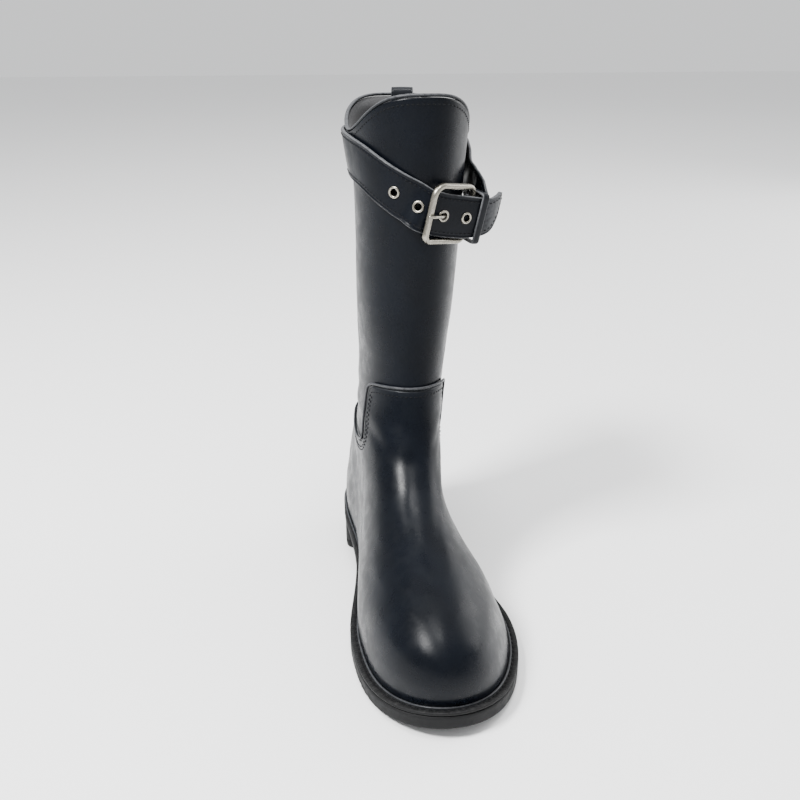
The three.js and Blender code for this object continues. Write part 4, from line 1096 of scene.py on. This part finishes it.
class BootColours(bpy.types.PropertyGroup):
    """Colours of the boot's finishes."""

    leather: colour_setting("Leather", "Shaft, foot and straps", 0.0019, 0.0028, 0.0048)
    # Pale edge colour: rubbed edges, and also the highlight painted along edges, piping, binding and the
    # feather bead.
    edge: colour_setting("Worn edge", "Cut and bound edges", 0.085, 0.087, 0.092)
    trim: colour_setting("Trim", "Piping, binding and pull tab", 0.0075, 0.0085, 0.0105)
    lining: colour_setting("Lining", "Inside of the shaft and foot", 0.036, 0.036, 0.038)
    rubber: colour_setting("Rubber", "Outsole, heel and welt", 0.0065, 0.0066, 0.007)
    thread: colour_setting("Thread", "All stitches", 0.0045, 0.005, 0.006)
    metal: colour_setting("Metal", "Buckle and eyelets", 0.25, 0.235, 0.2)
    floor: colour_setting("Floor", "Floor and surroundings", 0.9, 0.9, 0.9)


def finish_named(name):
    """One of the boot's finishes, made the first time it is asked for."""
    colours = bpy.context.scene.boot_colours
    scale = bpy.context.scene.boot_sizes.pebble_scale
    makers = {
        "upper_leather": (leather_material, colours.leather, colours.edge, 0.315, scale, 0.2),
        "strap_leather": (leather_material, colours.leather, colours.edge, 0.36, scale, 0.3),
        "trim_leather": (leather_material, colours.trim, colours.edge, 0.32, scale * 1.3, 0.3),
        "lining": (lining_material, colours.lining),
        "sole_rubber": (rubber_material, colours.rubber, 0.62, 0.06),
        "welt_rubber": (rubber_material, colours.rubber, 0.6, 0.1),
        "thread": (thread_material, colours.thread),
        "antique_silver": (metal_material, colours.metal),
        "floor": (floor_material, colours.floor),
    }
    maker, *values = makers[name]
    return bpy.data.materials.get(name) or maker(name, *values)


def thread_facts():
    """Pitch, length and radius of the upper's stitches in millimetres."""
    sizes = bpy.context.scene.boot_sizes
    pitch = sizes.stitch_pitch / MM
    return pitch, pitch * STITCH_SHARE, sizes.thread_radius / MM


class BOOT_OT_upper(bpy.types.Operator):
    """Builds the leather upper with its foot panel, folds and lining"""

    bl_idname = "boot.upper"
    bl_label = "Upper"

    def execute(self, context):
        depth = context.scene.boot_sizes.fold_depth
        a = ring_angles(300)
        edge = panel_edge(a)
        speed = np.linalg.norm(slopes(edge, a)[1], axis=-1) / (2 * STEP)
        roll = PANEL_STEP / speed
        foot = np.concatenate([np.linspace(0, 0.04, 4)[:-1], np.linspace(0.04, 1, 96)])[:, None]
        foot_t = foot * (edge - roll)[None]
        turn = np.linspace(0, np.pi / 2, 7)[1:, None]
        roll_t = (edge - roll)[None] + roll[None] * np.sin(turn)
        shaft = np.linspace(0, 1, 112)[1:, None]
        shaft_t = mix(edge[None], 1, shaft)
        t = np.concatenate([foot_t, roll_t, shaft_t])
        offset = np.concatenate([
            np.full((len(foot), 1), PANEL_STEP), PANEL_STEP * np.cos(turn), np.zeros((len(shaft), 1))])
        grid_a = np.broadcast_to(a, t.shape)
        base = skin(t, grid_a, offset)
        relief = fold_relief(t, grid_a, base, depth)
        fade = smooth(t / 0.05) * smooth((1 - t) / 0.04)
        outer = base + outward(t, grid_a) * (relief * fade)[..., None]
        inner_t = np.linspace(1, 0, 64)[:, None] * np.ones((1, len(a)))
        inner = skin(inner_t, np.broadcast_to(a, inner_t.shape), -WALL)
        points = np.concatenate([outer, inner])
        rows = len(points)
        faces = grid_faces(rows, len(a), close_rows=True, close_columns=True)
        row_of = np.repeat(np.arange(rows), len(a))
        lined = (row_of >= len(outer)) & (row_of < rows - 1)
        near = np.abs(t - edge[None]) * speed[None]
        # The foot panel's rolled top edge is made paler: partly rubbing and partly a painted highlight along
        # the roll.
        wear_and_highlight = np.concatenate([0.35 * (1 - smooth(near / 1.6)) * (t <= edge[None] + 1e-9),
                               np.zeros(inner_t.shape)])
        make_piece("leather_upper", [(points, faces.tolist())], "upper_leather lining",
                   ["upper"], wear_and_highlight, lined)
        return {"FINISHED"}


class BOOT_OT_seams(bpy.types.Operator):
    """Builds the piping along the foot panel and the rows of stitches under it"""

    bl_idname = "boot.seams"
    bl_label = "Foot panel seams"

    def execute(self, context):
        a = ring_angles(420)
        rod = ring_rod(panel_edge, a, PIPING_RADIUS + 2 * GAP, PIPING_RADIUS + 3 * GAP,
                       PIPING_RADIUS, 12)
        turn = turns(12)
        # The piping's outward side is made paler: partly rubbing and partly a painted highlight along it.
        wear_and_highlight = np.broadcast_to(0.5 * smooth((np.cos(turn) + 0.2) / 1.2), rod.shape[:2])
        make_piece("foot_piping", [tube(rod)], "trim_leather", ["seam_piping"], wear_and_highlight=wear_and_highlight)
        pitch, length, radius = thread_facts()
        drop = context.scene.boot_sizes.seam_drop / MM
        rows = []
        for extra in (0, 2.4):
            t, line_a = line_beside(panel_edge, a, drop + extra)
            path = skin(t, line_a, PANEL_STEP)
            relief = fold_relief(t, line_a, path, context.scene.boot_sizes.fold_depth)
            face = outward(t, line_a)
            path = path + face * relief[:, None]
            if extra:
                keep = (from_front(a) > 57) & (from_front(a) < 172)
                for side in (a > 0, a < 0):
                    kept = keep & side
                    rows += stitch_row(path[kept], face[kept], pitch, length, radius)
            else:
                rows += stitch_row(path, face, pitch, length, radius, closed=True)
        stitches("panel_stitches", rows)
        return {"FINISHED"}


class BOOT_OT_collar(bpy.types.Operator):
    """Builds the collar's binding, its stitches and the pull tab"""

    bl_idname = "boot.collar"
    bl_label = "Collar"

    def execute(self, context):
        a = ring_angles(360)
        rod = ring_rod(np.ones_like, a, -WALL / 2, BINDING_RADIUS + GAP,
                       BINDING_RADIUS, 14, flat=1.35)
        turn = turns(14)
        # The binding's upper side is made paler: partly rubbing and partly a painted highlight along the
        # collar.
        wear_and_highlight = np.broadcast_to(0.75 * smooth((np.sin(turn) + 0.5) / 1.4), rod.shape[:2])
        make_piece("topline_binding", [tube(rod)], "trim_leather", ["collar_binding"], wear_and_highlight=wear_and_highlight)
        pitch, length, radius = thread_facts()
        drop = context.scene.boot_sizes.topline_drop / MM
        t = 1 - drop / (np.linalg.norm(slopes(1, a)[1], axis=-1) / (2 * STEP))
        rows = stitch_row(skin(t, a, 0.02), outward(t, a), pitch, length, radius, closed=True)
        stitches("topline_stitches", rows)
        self.pull_tab()
        return {"FINISHED"}

    def pull_tab(self):
        """The tab is a strap whose line goes up the inside, over the rim by a half circle and
        down the outside, with two rows of stitches across its outer leg."""
        a = math.radians(TAB_ANGLE)
        rim = skin(1, a, 0)
        out = outward(1, a)
        out = unit(np.array([out[0], out[1], 0]))
        reach = WALL / 2 + GAP + TAB_THICKNESS / 2 + TAB_CLEARANCE
        drift = np.dot(skin(level_at(a, rim[2] - TAB_LENGTH), a, 0) - rim, out)
        top = TAB_RISE - reach
        fall = np.linspace(1, 0, 9)[:-1]
        turn = np.linspace(np.pi, 0, 17)
        across = np.concatenate([drift * fall - reach, reach * np.cos(turn), drift * fall[::-1] + reach])
        up = np.concatenate([mix(top, -TAB_LENGTH, fall), top + reach * np.sin(turn),
                             mix(top, -TAB_LENGTH, fall[::-1])])
        face_out = np.concatenate([np.full(8, -1.0), np.cos(turn), np.ones(8)])
        face_up = np.concatenate([np.zeros(8), np.sin(turn), np.zeros(8)])
        rise = np.array([0, 0, 1.0])
        at = rim + out * (across - WALL / 2)[:, None] + rise * up[:, None]
        face = out * face_out[:, None] + rise * face_up[:, None]
        wide, normal = square_axes(at, face)
        half = np.full(len(at), TAB_WIDTH / 2)
        points, edge = strap_body(at, wide, normal, half, -half, TAB_THICKNESS)
        # The tab's edges are made paler: partly rubbing and partly a painted highlight.
        make_piece("heel_pull_tab", [tube(points, False)],
                   "trim_leather", ["pull_tab"], wear_and_highlight=0.6 * edge)
        rows = []
        pitch, length, radius = thread_facts()
        for place in (2, 4):
            line = at[-place] + wide[-place] * np.linspace(-6.2, 6.2, 9)[:, None]
            line = line + normal[-place] * TAB_THICKNESS / 2
            rows += stitch_row(line, np.repeat(normal[-place][None], 9, 0), pitch * 0.8, length * 0.8, radius)
        stitches("pull_tab_stitches", rows)


class BOOT_OT_sock(bpy.types.Operator):
    """Builds the padded sock inside the boot"""

    bl_idname = "boot.sock"
    bl_label = "Sock"

    def execute(self, context):
        a = np.linspace(0, np.pi, 121)
        share = (1 - np.cos(np.linspace(0, np.pi, 33))) / 2
        margin = -WALL - INSOLE_CLEARANCE
        medial, lateral = feather(-a, margin), feather(a, margin)
        plan = mix(medial[:, None], lateral[:, None], share[None, :, None])
        base = sole_top(plan[..., 1]) + GAP
        side = np.minimum(share, 1 - share)[None] * np.linalg.norm(lateral - medial, axis=1)[:, None]
        end = np.minimum(np.abs(plan[..., 1] - plan[0, 0, 1]), np.abs(plan[..., 1] - plan[-1, 0, 1]))
        near = np.minimum(side, end)
        crown = INSOLE_THICKNESS * np.sqrt(np.clip(1 - (1 - np.clip(near / 2.5, 0, 1)) ** 2, 0, 1))
        cup = 0.8 * (1 - smooth((near - 2) / 8)) * smooth(near / 2.5)
        top = np.concatenate([plan, (base + 0.2 + (crown + cup) * 0.93)[..., None]], -1)
        low = np.concatenate([plan, base[..., None]], -1)
        rows, columns = plan.shape[:2]
        faces = grid_faces(rows, columns)
        under = faces[:, ::-1] + rows * columns
        border = np.concatenate([
            np.arange(columns), np.arange(1, rows) * columns + columns - 1,
            (rows - 1) * columns + np.arange(columns - 2, -1, -1), np.arange(rows - 2, 0, -1) * columns])
        after = np.roll(border, -1)
        walls = np.stack([after, border, border + rows * columns, after + rows * columns], -1)
        body = (np.concatenate([top.reshape(-1, 3), low.reshape(-1, 3)]),
                np.concatenate([faces, under, walls]).tolist())
        make_piece("sock", [body], "lining", ["insole"], weld=True)
        return {"FINISHED"}


class BOOT_OT_welt(bpy.types.Operator):
    """Builds the welt with its stitched channel and the bead against the upper"""

    bl_idname = "boot.welt"
    bl_label = "Welt"

    def execute(self, context):
        count = 1300
        a = even_angles(count)
        margin = edge_margin(a)[:, None]
        share, moved, height, ribbed, wear_and_highlight = np.array(WELT_PROFILE).T
        place = share[None] * margin + moved[None]
        plan = feather(np.broadcast_to(a[:, None], place.shape), place)
        points = raised(plan, sole_top)
        ridges = 0.16 * np.cos(np.arange(count) / count * 2 * np.pi * 330)[:, None]
        points[..., 2] += height[None] + ridges * ribbed[None]
        edge = np.broadcast_to(0.25 * wear_and_highlight, place.shape)
        make_piece("stitched_welt", [tube(points)], "welt_rubber", ["welt"], wear_and_highlight=edge)
        sizes = context.scene.boot_sizes
        path = raised(feather(a, 0.5 * edge_margin(a)), lambda y: sole_top(y) - 0.34)
        up = np.repeat(np.array([[0, 0, 1.0]]), count, 0)
        pitch = sizes.welt_pitch / MM
        rows = stitch_row(path, up, pitch, pitch * 0.8, 0.5, closed=True)
        stitches("welt_stitches", rows)
        bead_a = even_angles(520)
        middle = raised(feather(bead_a, PANEL_STEP + 0.95), lambda y: sole_top(y) + 0.45)
        out = feather(bead_a, 2) - feather(bead_a, 1)
        out = np.concatenate([out, np.zeros((len(out), 1))], -1)[:, None]
        turn = turns(10)[None, :, None]
        rod = middle[:, None] + out * 0.75 * np.cos(turn) + np.array([0, 0, 0.7]) * np.sin(turn)
        # The bead's upper side is made paler as a painted highlight along the feather line.
        wear_and_highlight = np.broadcast_to(0.45 * smooth((np.sin(turn[..., 0]) + 0.3)), rod.shape[:2])
        make_piece("feather_bead", [tube(rod)], "trim_leather", wear_and_highlight=wear_and_highlight)
        return {"FINISHED"}


def grooves(y, first, count, direction):
    """How deep the tread is cut at a place: straight-sided grooves across, softened at their
    mouths."""
    depth = np.zeros(np.shape(y))
    for i in range(count):
        away = np.abs(y - (first + direction * GROOVE_PITCH * i))
        depth = np.maximum(depth, smooth((GROOVE_WIDTH / 2 + 0.3 - away) / 0.6))
    return GROOVE_DEPTH * depth


def forefoot_cut(y):
    """Lowest height that the forefoot's grooves leave."""
    return grooves(y, CLIMB_START * LENGTH - GROOVE_PITCH / 2, FOREFOOT_GROOVES, -1)


def heel_cut(y):
    """Lowest height that the heel's grooves leave."""
    return grooves(y, -GROOVE_PITCH / 2, HEEL_GROOVES, 1)


def tread_plate(outline, inset, low, cut, columns=21):
    """A tread: straight rows across the sole between its inset sides, with its grooves cut into
    the lower face, closed by a level upper face."""
    out = np.stack([np.gradient(outline[:, 1]), -np.gradient(outline[:, 0])], -1)
    inner = outline - unit(out) * inset
    top, bottom = np.argmax(inner[:, 1]), np.argmin(inner[:, 1])
    rolled = np.roll(inner, -bottom, axis=0)
    split = (top - bottom) % len(inner)
    right, left = rolled[:split + 1], np.vstack([rolled[split:], rolled[:1]])[::-1]
    if right[:, 0].mean() < left[:, 0].mean():
        right, left = left, right
    turn = np.linspace(0, np.pi, 420)
    y = mix(inner[bottom, 1], inner[top, 1], (1 - np.cos(turn)) / 2)[1:-1]
    x_right = np.interp(y, np.maximum.accumulate(right[:, 1]), right[:, 0])
    x_left = np.interp(y, np.maximum.accumulate(left[:, 1]), left[:, 0])
    share = np.linspace(0, 1, columns)[None]
    x = mix(x_left[:, None], x_right[:, None], share)
    grid_y = np.broadcast_to(y[:, None], x.shape)
    floor = np.maximum(low(grid_y), cut(grid_y))
    under = np.stack([x, grid_y, floor], -1)
    over = np.stack([x, grid_y, low(grid_y) + TREAD_THICKNESS], -1)
    points = np.concatenate([under, over[:, ::-1]], 1)
    return tube(points, False)


def sole_ring(outline, profile, top, low, cut):
    """A sole's rim: a closed profile of inset, share of the height and millimetres moved up,
    carried along an outline; its lowest places rise over the grooves."""
    out = np.stack([np.gradient(outline[:, 1]), -np.gradient(outline[:, 0])], -1)
    out[0] = out[-1] = (out[1] + out[-2]) / 2
    out = unit(out)
    if np.sum(outline[:, 0] * np.roll(outline[:, 1], -1) - outline[:, 1] * np.roll(outline[:, 0], -1)) < 0:
        out = -out
    inset, share, moved = np.array(profile).T
    plan = outline[:, None] - out[:, None] * inset[None, :, None]
    y = plan[..., 1]
    z = mix(low(y), top(y), share[None]) + moved[None]
    return np.concatenate([plan, np.maximum(z, cut(y))[..., None]], -1)


def heel_outline():
    """The heel's plan: the sole's own edge behind the breast, quarter-round corners, and a
    breast that bows in by a square law."""
    a = even_angles(1400)
    edge = feather(a, edge_margin(a))
    kept = edge[:, 1] > BREAST_Y
    a, edge = a[kept], edge[kept]
    order = np.argsort((a + 2 * np.pi) % (2 * np.pi))
    a, edge = a[order], edge[order]
    run = np.clip(BREAST_CORNER - (edge[:, 1] - BREAST_Y), 0, BREAST_CORNER)
    corner = BREAST_CORNER - np.sqrt(np.clip(BREAST_CORNER ** 2 - run ** 2, 0, None))
    side = feather(a, edge_margin(a) - corner)
    side[:, 1] = edge[:, 1]
    share = np.linspace(0, 1, 60)[1:-1, None]
    breast = mix(side[-1:], side[:1], share)
    breast[:, 1] += BREAST_BOW * (1 - (2 * share[:, 0] - 1) ** 2)
    loop = np.vstack([side, breast])
    places = even_path(loop, 0.45, True)
    return sample(loop, places, True)


class BOOT_OT_soles(bpy.types.Operator):
    """Builds the outsole and the heel with their treads"""

    bl_idname = "boot.soles"
    bl_label = "Soles"

    def execute(self, context):
        a = even_angles(900)
        edge = feather(a, edge_margin(a))

        def top(y):
            return sole_top(y) - WELT_THICKNESS - GAP

        ring = sole_ring(edge, OUTSOLE_PROFILE, top, sole_bottom, forefoot_cut)
        plate = tread_plate(edge, 4.9, sole_bottom, forefoot_cut)
        make_piece("rubber_outsole", [tube(ring), plate], "sole_rubber", ["outsole"])
        outline = heel_outline()

        def seat(y):
            return sole_bottom(y) - 2 * GAP

        def floor(y):
            return np.zeros(np.shape(y))

        heel_ring = sole_ring(outline, HEEL_PROFILE, seat, floor, heel_cut)
        heel_plate = tread_plate(outline, 5.9, floor, heel_cut)
        make_piece("rubber_heel", [tube(heel_ring), heel_plate], "sole_rubber", ["heel_block"])
        return {"FINISHED"}


class BOOT_OT_straps(bpy.types.Operator):
    """Builds the billet with its holes and the chape with its free loop"""

    bl_idname = "boot.straps"
    bl_label = "Straps"

    def execute(self, context):
        pitch, length, radius = thread_facts()
        at, across, normal, high, low, run = billet_line()
        points, edge = strap_body(at, across, normal, high, low, STRAP_THICKNESS)
        # The strap's edges are made paler, partly rubbing and partly a painted highlight along them; the
        # flexed tip is made paler as rubbing.
        flexed = smooth((run - run[-1] + 0.7 * TIP_LENGTH) / (0.3 * TIP_LENGTH))[:, None]
        edge = np.maximum(edge, 0.5 * flexed)
        billet = make_piece("billet", [tube(points, False)],
                            "strap_leather", ["billet_strap"],
                            wear_and_highlight=edge)
        reach = EYELET_BARREL + GAP
        cutters = []
        for spot, face in zip(*eyelet_spots()):
            ring = turned_ring(spot, face, [(reach, -MID - 1), (reach, MID + 1)], 32)
            cutters.append(tube(ring.transpose(1, 0, 2), False))
        cut_holes(billet, *joined(cutters))
        drop = np.minimum(3.3, (high - low) * 0.22)
        rows = []
        for place in (high - drop, low + drop):
            rows += stitch_row(strap_side(at, across, normal, place, STRAP_THICKNESS), normal,
                               pitch, length, radius)
        stitches("billet_stitches", rows)
        at, across, normal, high, low = chape_line()
        points, edge = strap_body(at, across, normal, high, low, CHAPE_THICKNESS)
        # The chape's edges are made paler too: partly rubbing and partly a painted highlight.
        chape = make_piece("chape", [tube(points, False)],
                           "strap_leather", ["chape_strap"],
                           wear_and_highlight=edge)
        bar_u, bar_n = HEEL_BAR
        half_slot = PRONG_RADIUS + GAP
        deep = BAR_RADIUS + GAP + CHAPE_THICKNESS + 1
        box = [(u, w, n) for u in (bar_u - deep, bar_u + 2) for w in (-half_slot, half_slot)
               for n in (bar_n - deep, 1)]
        sides = [[0, 1, 3, 2], [4, 6, 7, 5], [0, 4, 5, 1], [2, 3, 7, 6], [0, 2, 6, 4], [1, 5, 7, 3]]
        cut_holes(chape, at_buckle(box), sides)
        rows = []
        plain = slice(2, -26)
        for place in (high - 3.3, low + 3.3):
            for side in (1, -1):
                line = at + across * place[:, None] + normal * (side * CHAPE_THICKNESS / 2)
                rows += stitch_row(line[plain], side * normal[plain], pitch, length, radius)
        stitches("chape_stitches", rows)
        return {"FINISHED"}


class BOOT_OT_keeper(bpy.types.Operator):
    """Builds the leather keeper behind the buckle"""

    bl_idname = "boot.keeper"
    bl_label = "Keeper"

    def execute(self, context):
        high = STRAP_THICKNESS + GAP
        low = HEEL_BAR[1] - BAR_RADIUS - GAP - CHAPE_THICKNESS - GAP
        half = HALF_STRAP + FRAME_LIFT + GAP
        start = FRAME_LENGTH / 2 + BAR_RADIUS + 2 * GAP
        r, h = 1.4, KEEPER_THICKNESS / 2
        loop, facing = rounded_loop(half + h, (high - low) / 2 + h, [r + h] * 4, 8)
        middle = (high + low) / 2
        arc = np.linspace(np.pi / 2, -np.pi / 2, 7)
        crown = 0.18
        flat = np.linspace(0.9, KEEPER_WIDTH - 0.9, 5)
        u = np.concatenate([flat, KEEPER_WIDTH - h + h * np.cos(arc), flat[::-1], h - h * np.cos(arc[::-1])])
        n = np.concatenate([h + crown * np.sin(np.pi * (flat - 0.9) / (KEEPER_WIDTH - 1.8)),
                            h * np.sin(arc), np.full(5, -h), h * np.sin(arc[::-1])])
        w = loop[:, None, 0] + facing[:, None, 0] * n[None]
        out = loop[:, None, 1] + facing[:, None, 1] * n[None] + middle
        points = at_buckle(np.stack([np.broadcast_to(u + start, w.shape), w, out], -1))
        # Both edges of the keeper are made paler: partly rubbing and partly a painted highlight.
        near = np.minimum(u, KEEPER_WIDTH - u)
        wear_and_highlight = np.broadcast_to(1 - smooth((near - 0.1) / 0.9), w.shape)
        make_piece("keeper_loop", [tube(points)], "trim_leather", ["strap_keeper"], wear_and_highlight=wear_and_highlight)
        return {"FINISHED"}


def rounded_loop(half_wide, half_high, radii, steps):
    """A rectangle with quarter-round corners, anticlockwise from its right upper corner, and
    the way each place faces."""
    places, facing = [], []
    for (sx, sy, start), r in zip(((1, 1, 0), (-1, 1, 1), (-1, -1, 2), (1, -1, 3)), radii):
        turn = np.pi / 2 * (start + np.linspace(0, 1, steps))
        way = np.stack([np.cos(turn), np.sin(turn)], -1)
        places.append(np.array([sx * (half_wide - r), sy * (half_high - r)]) + r * way)
        facing.append(way)
    places, facing = np.vstack(places), np.vstack(facing)
    filled, faced = [], []
    for k in range(len(places)):
        after = (k + 1) % len(places)
        gap = np.linalg.norm(places[after] - places[k])
        parts = max(int(gap / 1.5), 1)
        share = (np.arange(parts) / parts)[:, None]
        filled.append(mix(places[k], places[after], share))
        faced.append(mix(facing[k], facing[after], share))
    return np.vstack(filled), unit(np.vstack(faced))


class BOOT_OT_buckle(bpy.types.Operator):
    """Builds the buckle's frame and its prong"""

    bl_idname = "boot.buckle"
    bl_label = "Buckle"

    def execute(self, context):
        half_wide, half_high = FRAME_LENGTH / 2, FRAME_INSIDE / 2 + BAR_RADIUS
        loop, facing = rounded_loop(half_wide, half_high, [5, 7.5, 4.5, 5], 14)
        share = (loop[:, :1] + half_wide) / FRAME_LENGTH
        out = mix(FRONT_BAR[1], HEEL_BAR[1], share)
        middle = at_buckle(np.concatenate([loop[:, :1], loop[:, 1:] + FRAME_LIFT, out], -1))
        slant = np.array([FRAME_LENGTH, 0, HEEL_BAR[1] - FRONT_BAR[1]])
        face = unit(np.cross(slant, [0, 1, 0])) @ AXES
        wide = unit(slant) @ AXES
        side = facing[:, :1] * wide + facing[:, 1:] * ACROSS
        turn = turns(24)
        c = np.sign(np.cos(turn)) * np.abs(np.cos(turn)) ** BAR_SQUARENESS
        s = np.sign(np.sin(turn)) * np.abs(np.sin(turn)) ** BAR_SQUARENESS
        points = (middle[:, None] + side[:, None] * (BAR_SLIMNESS * BAR_RADIUS * c)[None, :, None]
                  + face * (BAR_RADIUS * s)[None, :, None])
        # Two bands along each bar, beside the crown of its face, are made paler and glossier: a painted
        # highlight, partly rubbed metal.
        wear_and_highlight = np.broadcast_to(0.5 * bell((np.abs(turn - np.pi / 2) - 0.75) / 0.3), points.shape[:2])
        make_piece("frame_bars", [tube(points)], "antique_silver", ["buckle_frame"], wear_and_highlight=wear_and_highlight)
        self.prong()
        return {"FINISHED"}

    def prong(self):
        """A round bar carried along a smooth line from the ring on the hidden bar, up through
        the eyelet and over the front bar, thinner towards its blunt tip."""
        bar_u, bar_n = HEEL_BAR
        reach = BAR_RADIUS + GAP + PRONG_RADIUS
        turn = turns(40)[:, None]
        out = ALONG * np.cos(turn) + OUT * np.sin(turn)
        sides = turns(12)[None, :, None]
        centre = at_buckle([bar_u, 0, bar_n])
        ring = (centre + out[:, None] * (reach + PRONG_RADIUS * np.cos(sides))
                + ACROSS * PRONG_RADIUS * np.sin(sides))
        over, under = FRONT_BAR[1] + BAR_RADIUS + GAP + PRONG_RADIUS, -GAP - PRONG_RADIUS
        wide = 2 * PRONG_RADIUS
        path = np.array([
            (bar_u - reach, bar_n), (bar_u - reach - 1.5 * wide, under - PRONG_DIP),
            (PRONG_EYE + 2.4 * wide, under - GAP), (PRONG_EYE + PRONG_RADIUS, under + GAP),
            (PRONG_EYE + PRONG_RADIUS / 3, GAP), (PRONG_EYE, STRAP_THICKNESS),
            (PRONG_EYE - PRONG_RADIUS, STRAP_THICKNESS + wide),
            (FRONT_BAR[0] + 2 * wide, over - PRONG_RADIUS), (FRONT_BAR[0] + PRONG_RADIUS, over),
            (FRONT_BAR[0] - PRONG_OVERHANG, over)])
        line = curve_through(at_buckle(np.stack([path[:, 0], 0 * path[:, 0], path[:, 1]], -1)), 6)
        tip = line[-1] - ALONG * 0.8 * np.array([0.35, 0.7, 0.9, 1])[:, None]
        forward = unit(np.gradient(np.vstack([line, tip]), axis=0))
        line = np.vstack([line, tip])
        up = unit(np.cross(ACROSS, forward))
        thin = np.concatenate([np.ones(len(line) - 4), [0.94, 0.72, 0.45, 0.08]])[:, None, None]
        points = (line[:, None] + ACROSS * PRONG_RADIUS * thin * np.cos(sides)
                  + up[:, None] * PRONG_RADIUS * thin * np.sin(sides))
        make_piece("prong_bar", [tube(ring),
                                 tube(points, False)],
                   "antique_silver", ["buckle_prong"])


class BOOT_OT_eyelets(bpy.types.Operator):
    """Builds the four metal eyelets"""

    bl_idname = "boot.eyelets"
    bl_label = "Eyelets"

    def execute(self, context):
        face = MID + GAP
        turn = np.linspace(0, np.pi, 11)
        middle, half = (EYELET_HOLE + EYELET_FLANGE) / 2, (EYELET_FLANGE - EYELET_HOLE) / 2
        crown = [(middle + half * math.cos(k), face + EYELET_RISE * math.sin(k)) for k in turn]
        outline = [(EYELET_HOLE, -MID), (EYELET_BARREL, -MID), (EYELET_BARREL, face - 0.02)] + crown
        for k, (spot, way) in enumerate(zip(*eyelet_spots()), 1):
            ring = turned_ring(spot, way, outline, 48)
            wear_and_highlight = np.broadcast_to(0.6 * bell((np.array(outline)[:, 0] - middle) / 0.4), ring.shape[:2])
            make_piece(f"eyelet_ring_{k}", [tube(ring)],
                       "antique_silver", [f"eyelet_{k}"], wear_and_highlight=wear_and_highlight)
        return {"FINISHED"}


class BOOT_OT_stage(bpy.types.Operator):
    """Builds the pale floor, the soft lights and the camera"""

    bl_idname = "boot.stage"
    bl_label = "Stage"

    def execute(self, context):
        scene = context.scene
        mesh = bpy.data.meshes.new("floor")
        reach = np.linspace(-9, 9, 13)
        x, y = np.meshgrid(reach, reach)
        points = np.stack([x.ravel(), y.ravel(), np.zeros(x.size)], -1)
        mesh.from_pydata(points.tolist(), [], grid_faces(13, 13).tolist())
        mesh.materials.append(finish_named("floor"))
        floor = bpy.data.objects.new("floor", mesh)
        scene.collection.objects.link(floor)
        target = Vector(CAMERA_TARGET) * MM
        for name, place, wide, high, power in LIGHTS:
            light = bpy.data.lights.new(name, "AREA")
            light.shape = "RECTANGLE"
            light.size, light.size_y, light.energy = wide, high, power
            lamp = bpy.data.objects.new(name, light)
            lamp.location = place
            lamp.rotation_euler = (target - Vector(place)).to_track_quat("-Z", "Y").to_euler()
            scene.collection.objects.link(lamp)
        world = bpy.data.worlds.new("studio")
        world.use_nodes = True
        background = world.node_tree.nodes["Background"].inputs
        background["Color"].default_value = WORLD_COLOUR
        background["Strength"].default_value = WORLD_STRENGTH
        scene.world = world
        turn, rise = math.radians(CAMERA_TURN), math.radians(CAMERA_RISE)
        forward = Vector((math.sin(turn) * math.cos(rise), math.cos(turn) * math.cos(rise), -math.sin(rise)))
        lens = bpy.data.cameras.new("camera")
        lens.lens = CAMERA_LENS
        camera = bpy.data.objects.new("camera", lens)
        camera.location = target - forward * CAMERA_DISTANCE * MM
        camera.rotation_euler = forward.to_track_quat("-Z", "Y").to_euler()
        scene.collection.objects.link(camera)
        scene.camera = camera
        return {"FINISHED"}


OPERATORS = (
    BOOT_OT_upper, BOOT_OT_seams, BOOT_OT_collar, BOOT_OT_sock, BOOT_OT_welt, BOOT_OT_soles,
    BOOT_OT_straps, BOOT_OT_keeper, BOOT_OT_buckle, BOOT_OT_eyelets, BOOT_OT_stage,
)


class BOOT_PT_sidebar(bpy.types.Panel):
    """Lists the boot's sizes, colours and pieces"""

    bl_idname = "BOOT_PT_sidebar"
    bl_label = "Buckle boot"
    bl_space_type = "VIEW_3D"
    bl_region_type = "UI"
    bl_category = "Boot"

    def draw(self, context):
        for group in (context.scene.boot_sizes, context.scene.boot_colours):
            column = self.layout.column(align=True)
            for name in group.__annotations__:
                column.prop(group, name)
        column = self.layout.column(align=True)
        for operator in OPERATORS:
            column.operator(operator.bl_idname)


CLASSES = (BootSizes, BootColours) + OPERATORS + (BOOT_PT_sidebar,)


def register():
    """Registers the classes and hangs the settings on the scene."""
    for made in CLASSES:
        bpy.utils.register_class(made)
    bpy.types.Scene.boot_sizes = bpy.props.PointerProperty(type=BootSizes)
    bpy.types.Scene.boot_colours = bpy.props.PointerProperty(type=BootColours)


def unregister():
    """Takes the settings and the classes away again."""
    del bpy.types.Scene.boot_colours
    del bpy.types.Scene.boot_sizes
    for made in reversed(CLASSES):
        bpy.utils.unregister_class(made)


def main():
    """Builds every piece in order."""
    register()
    bpy.ops.boot.stage()
    bpy.ops.boot.upper()
    bpy.ops.boot.seams()
    bpy.ops.boot.collar()
    bpy.ops.boot.sock()
    bpy.ops.boot.welt()
    bpy.ops.boot.soles()
    bpy.ops.boot.straps()
    bpy.ops.boot.keeper()
    bpy.ops.boot.buckle()
    bpy.ops.boot.eyelets()


if __name__ == "__main__":
    main()
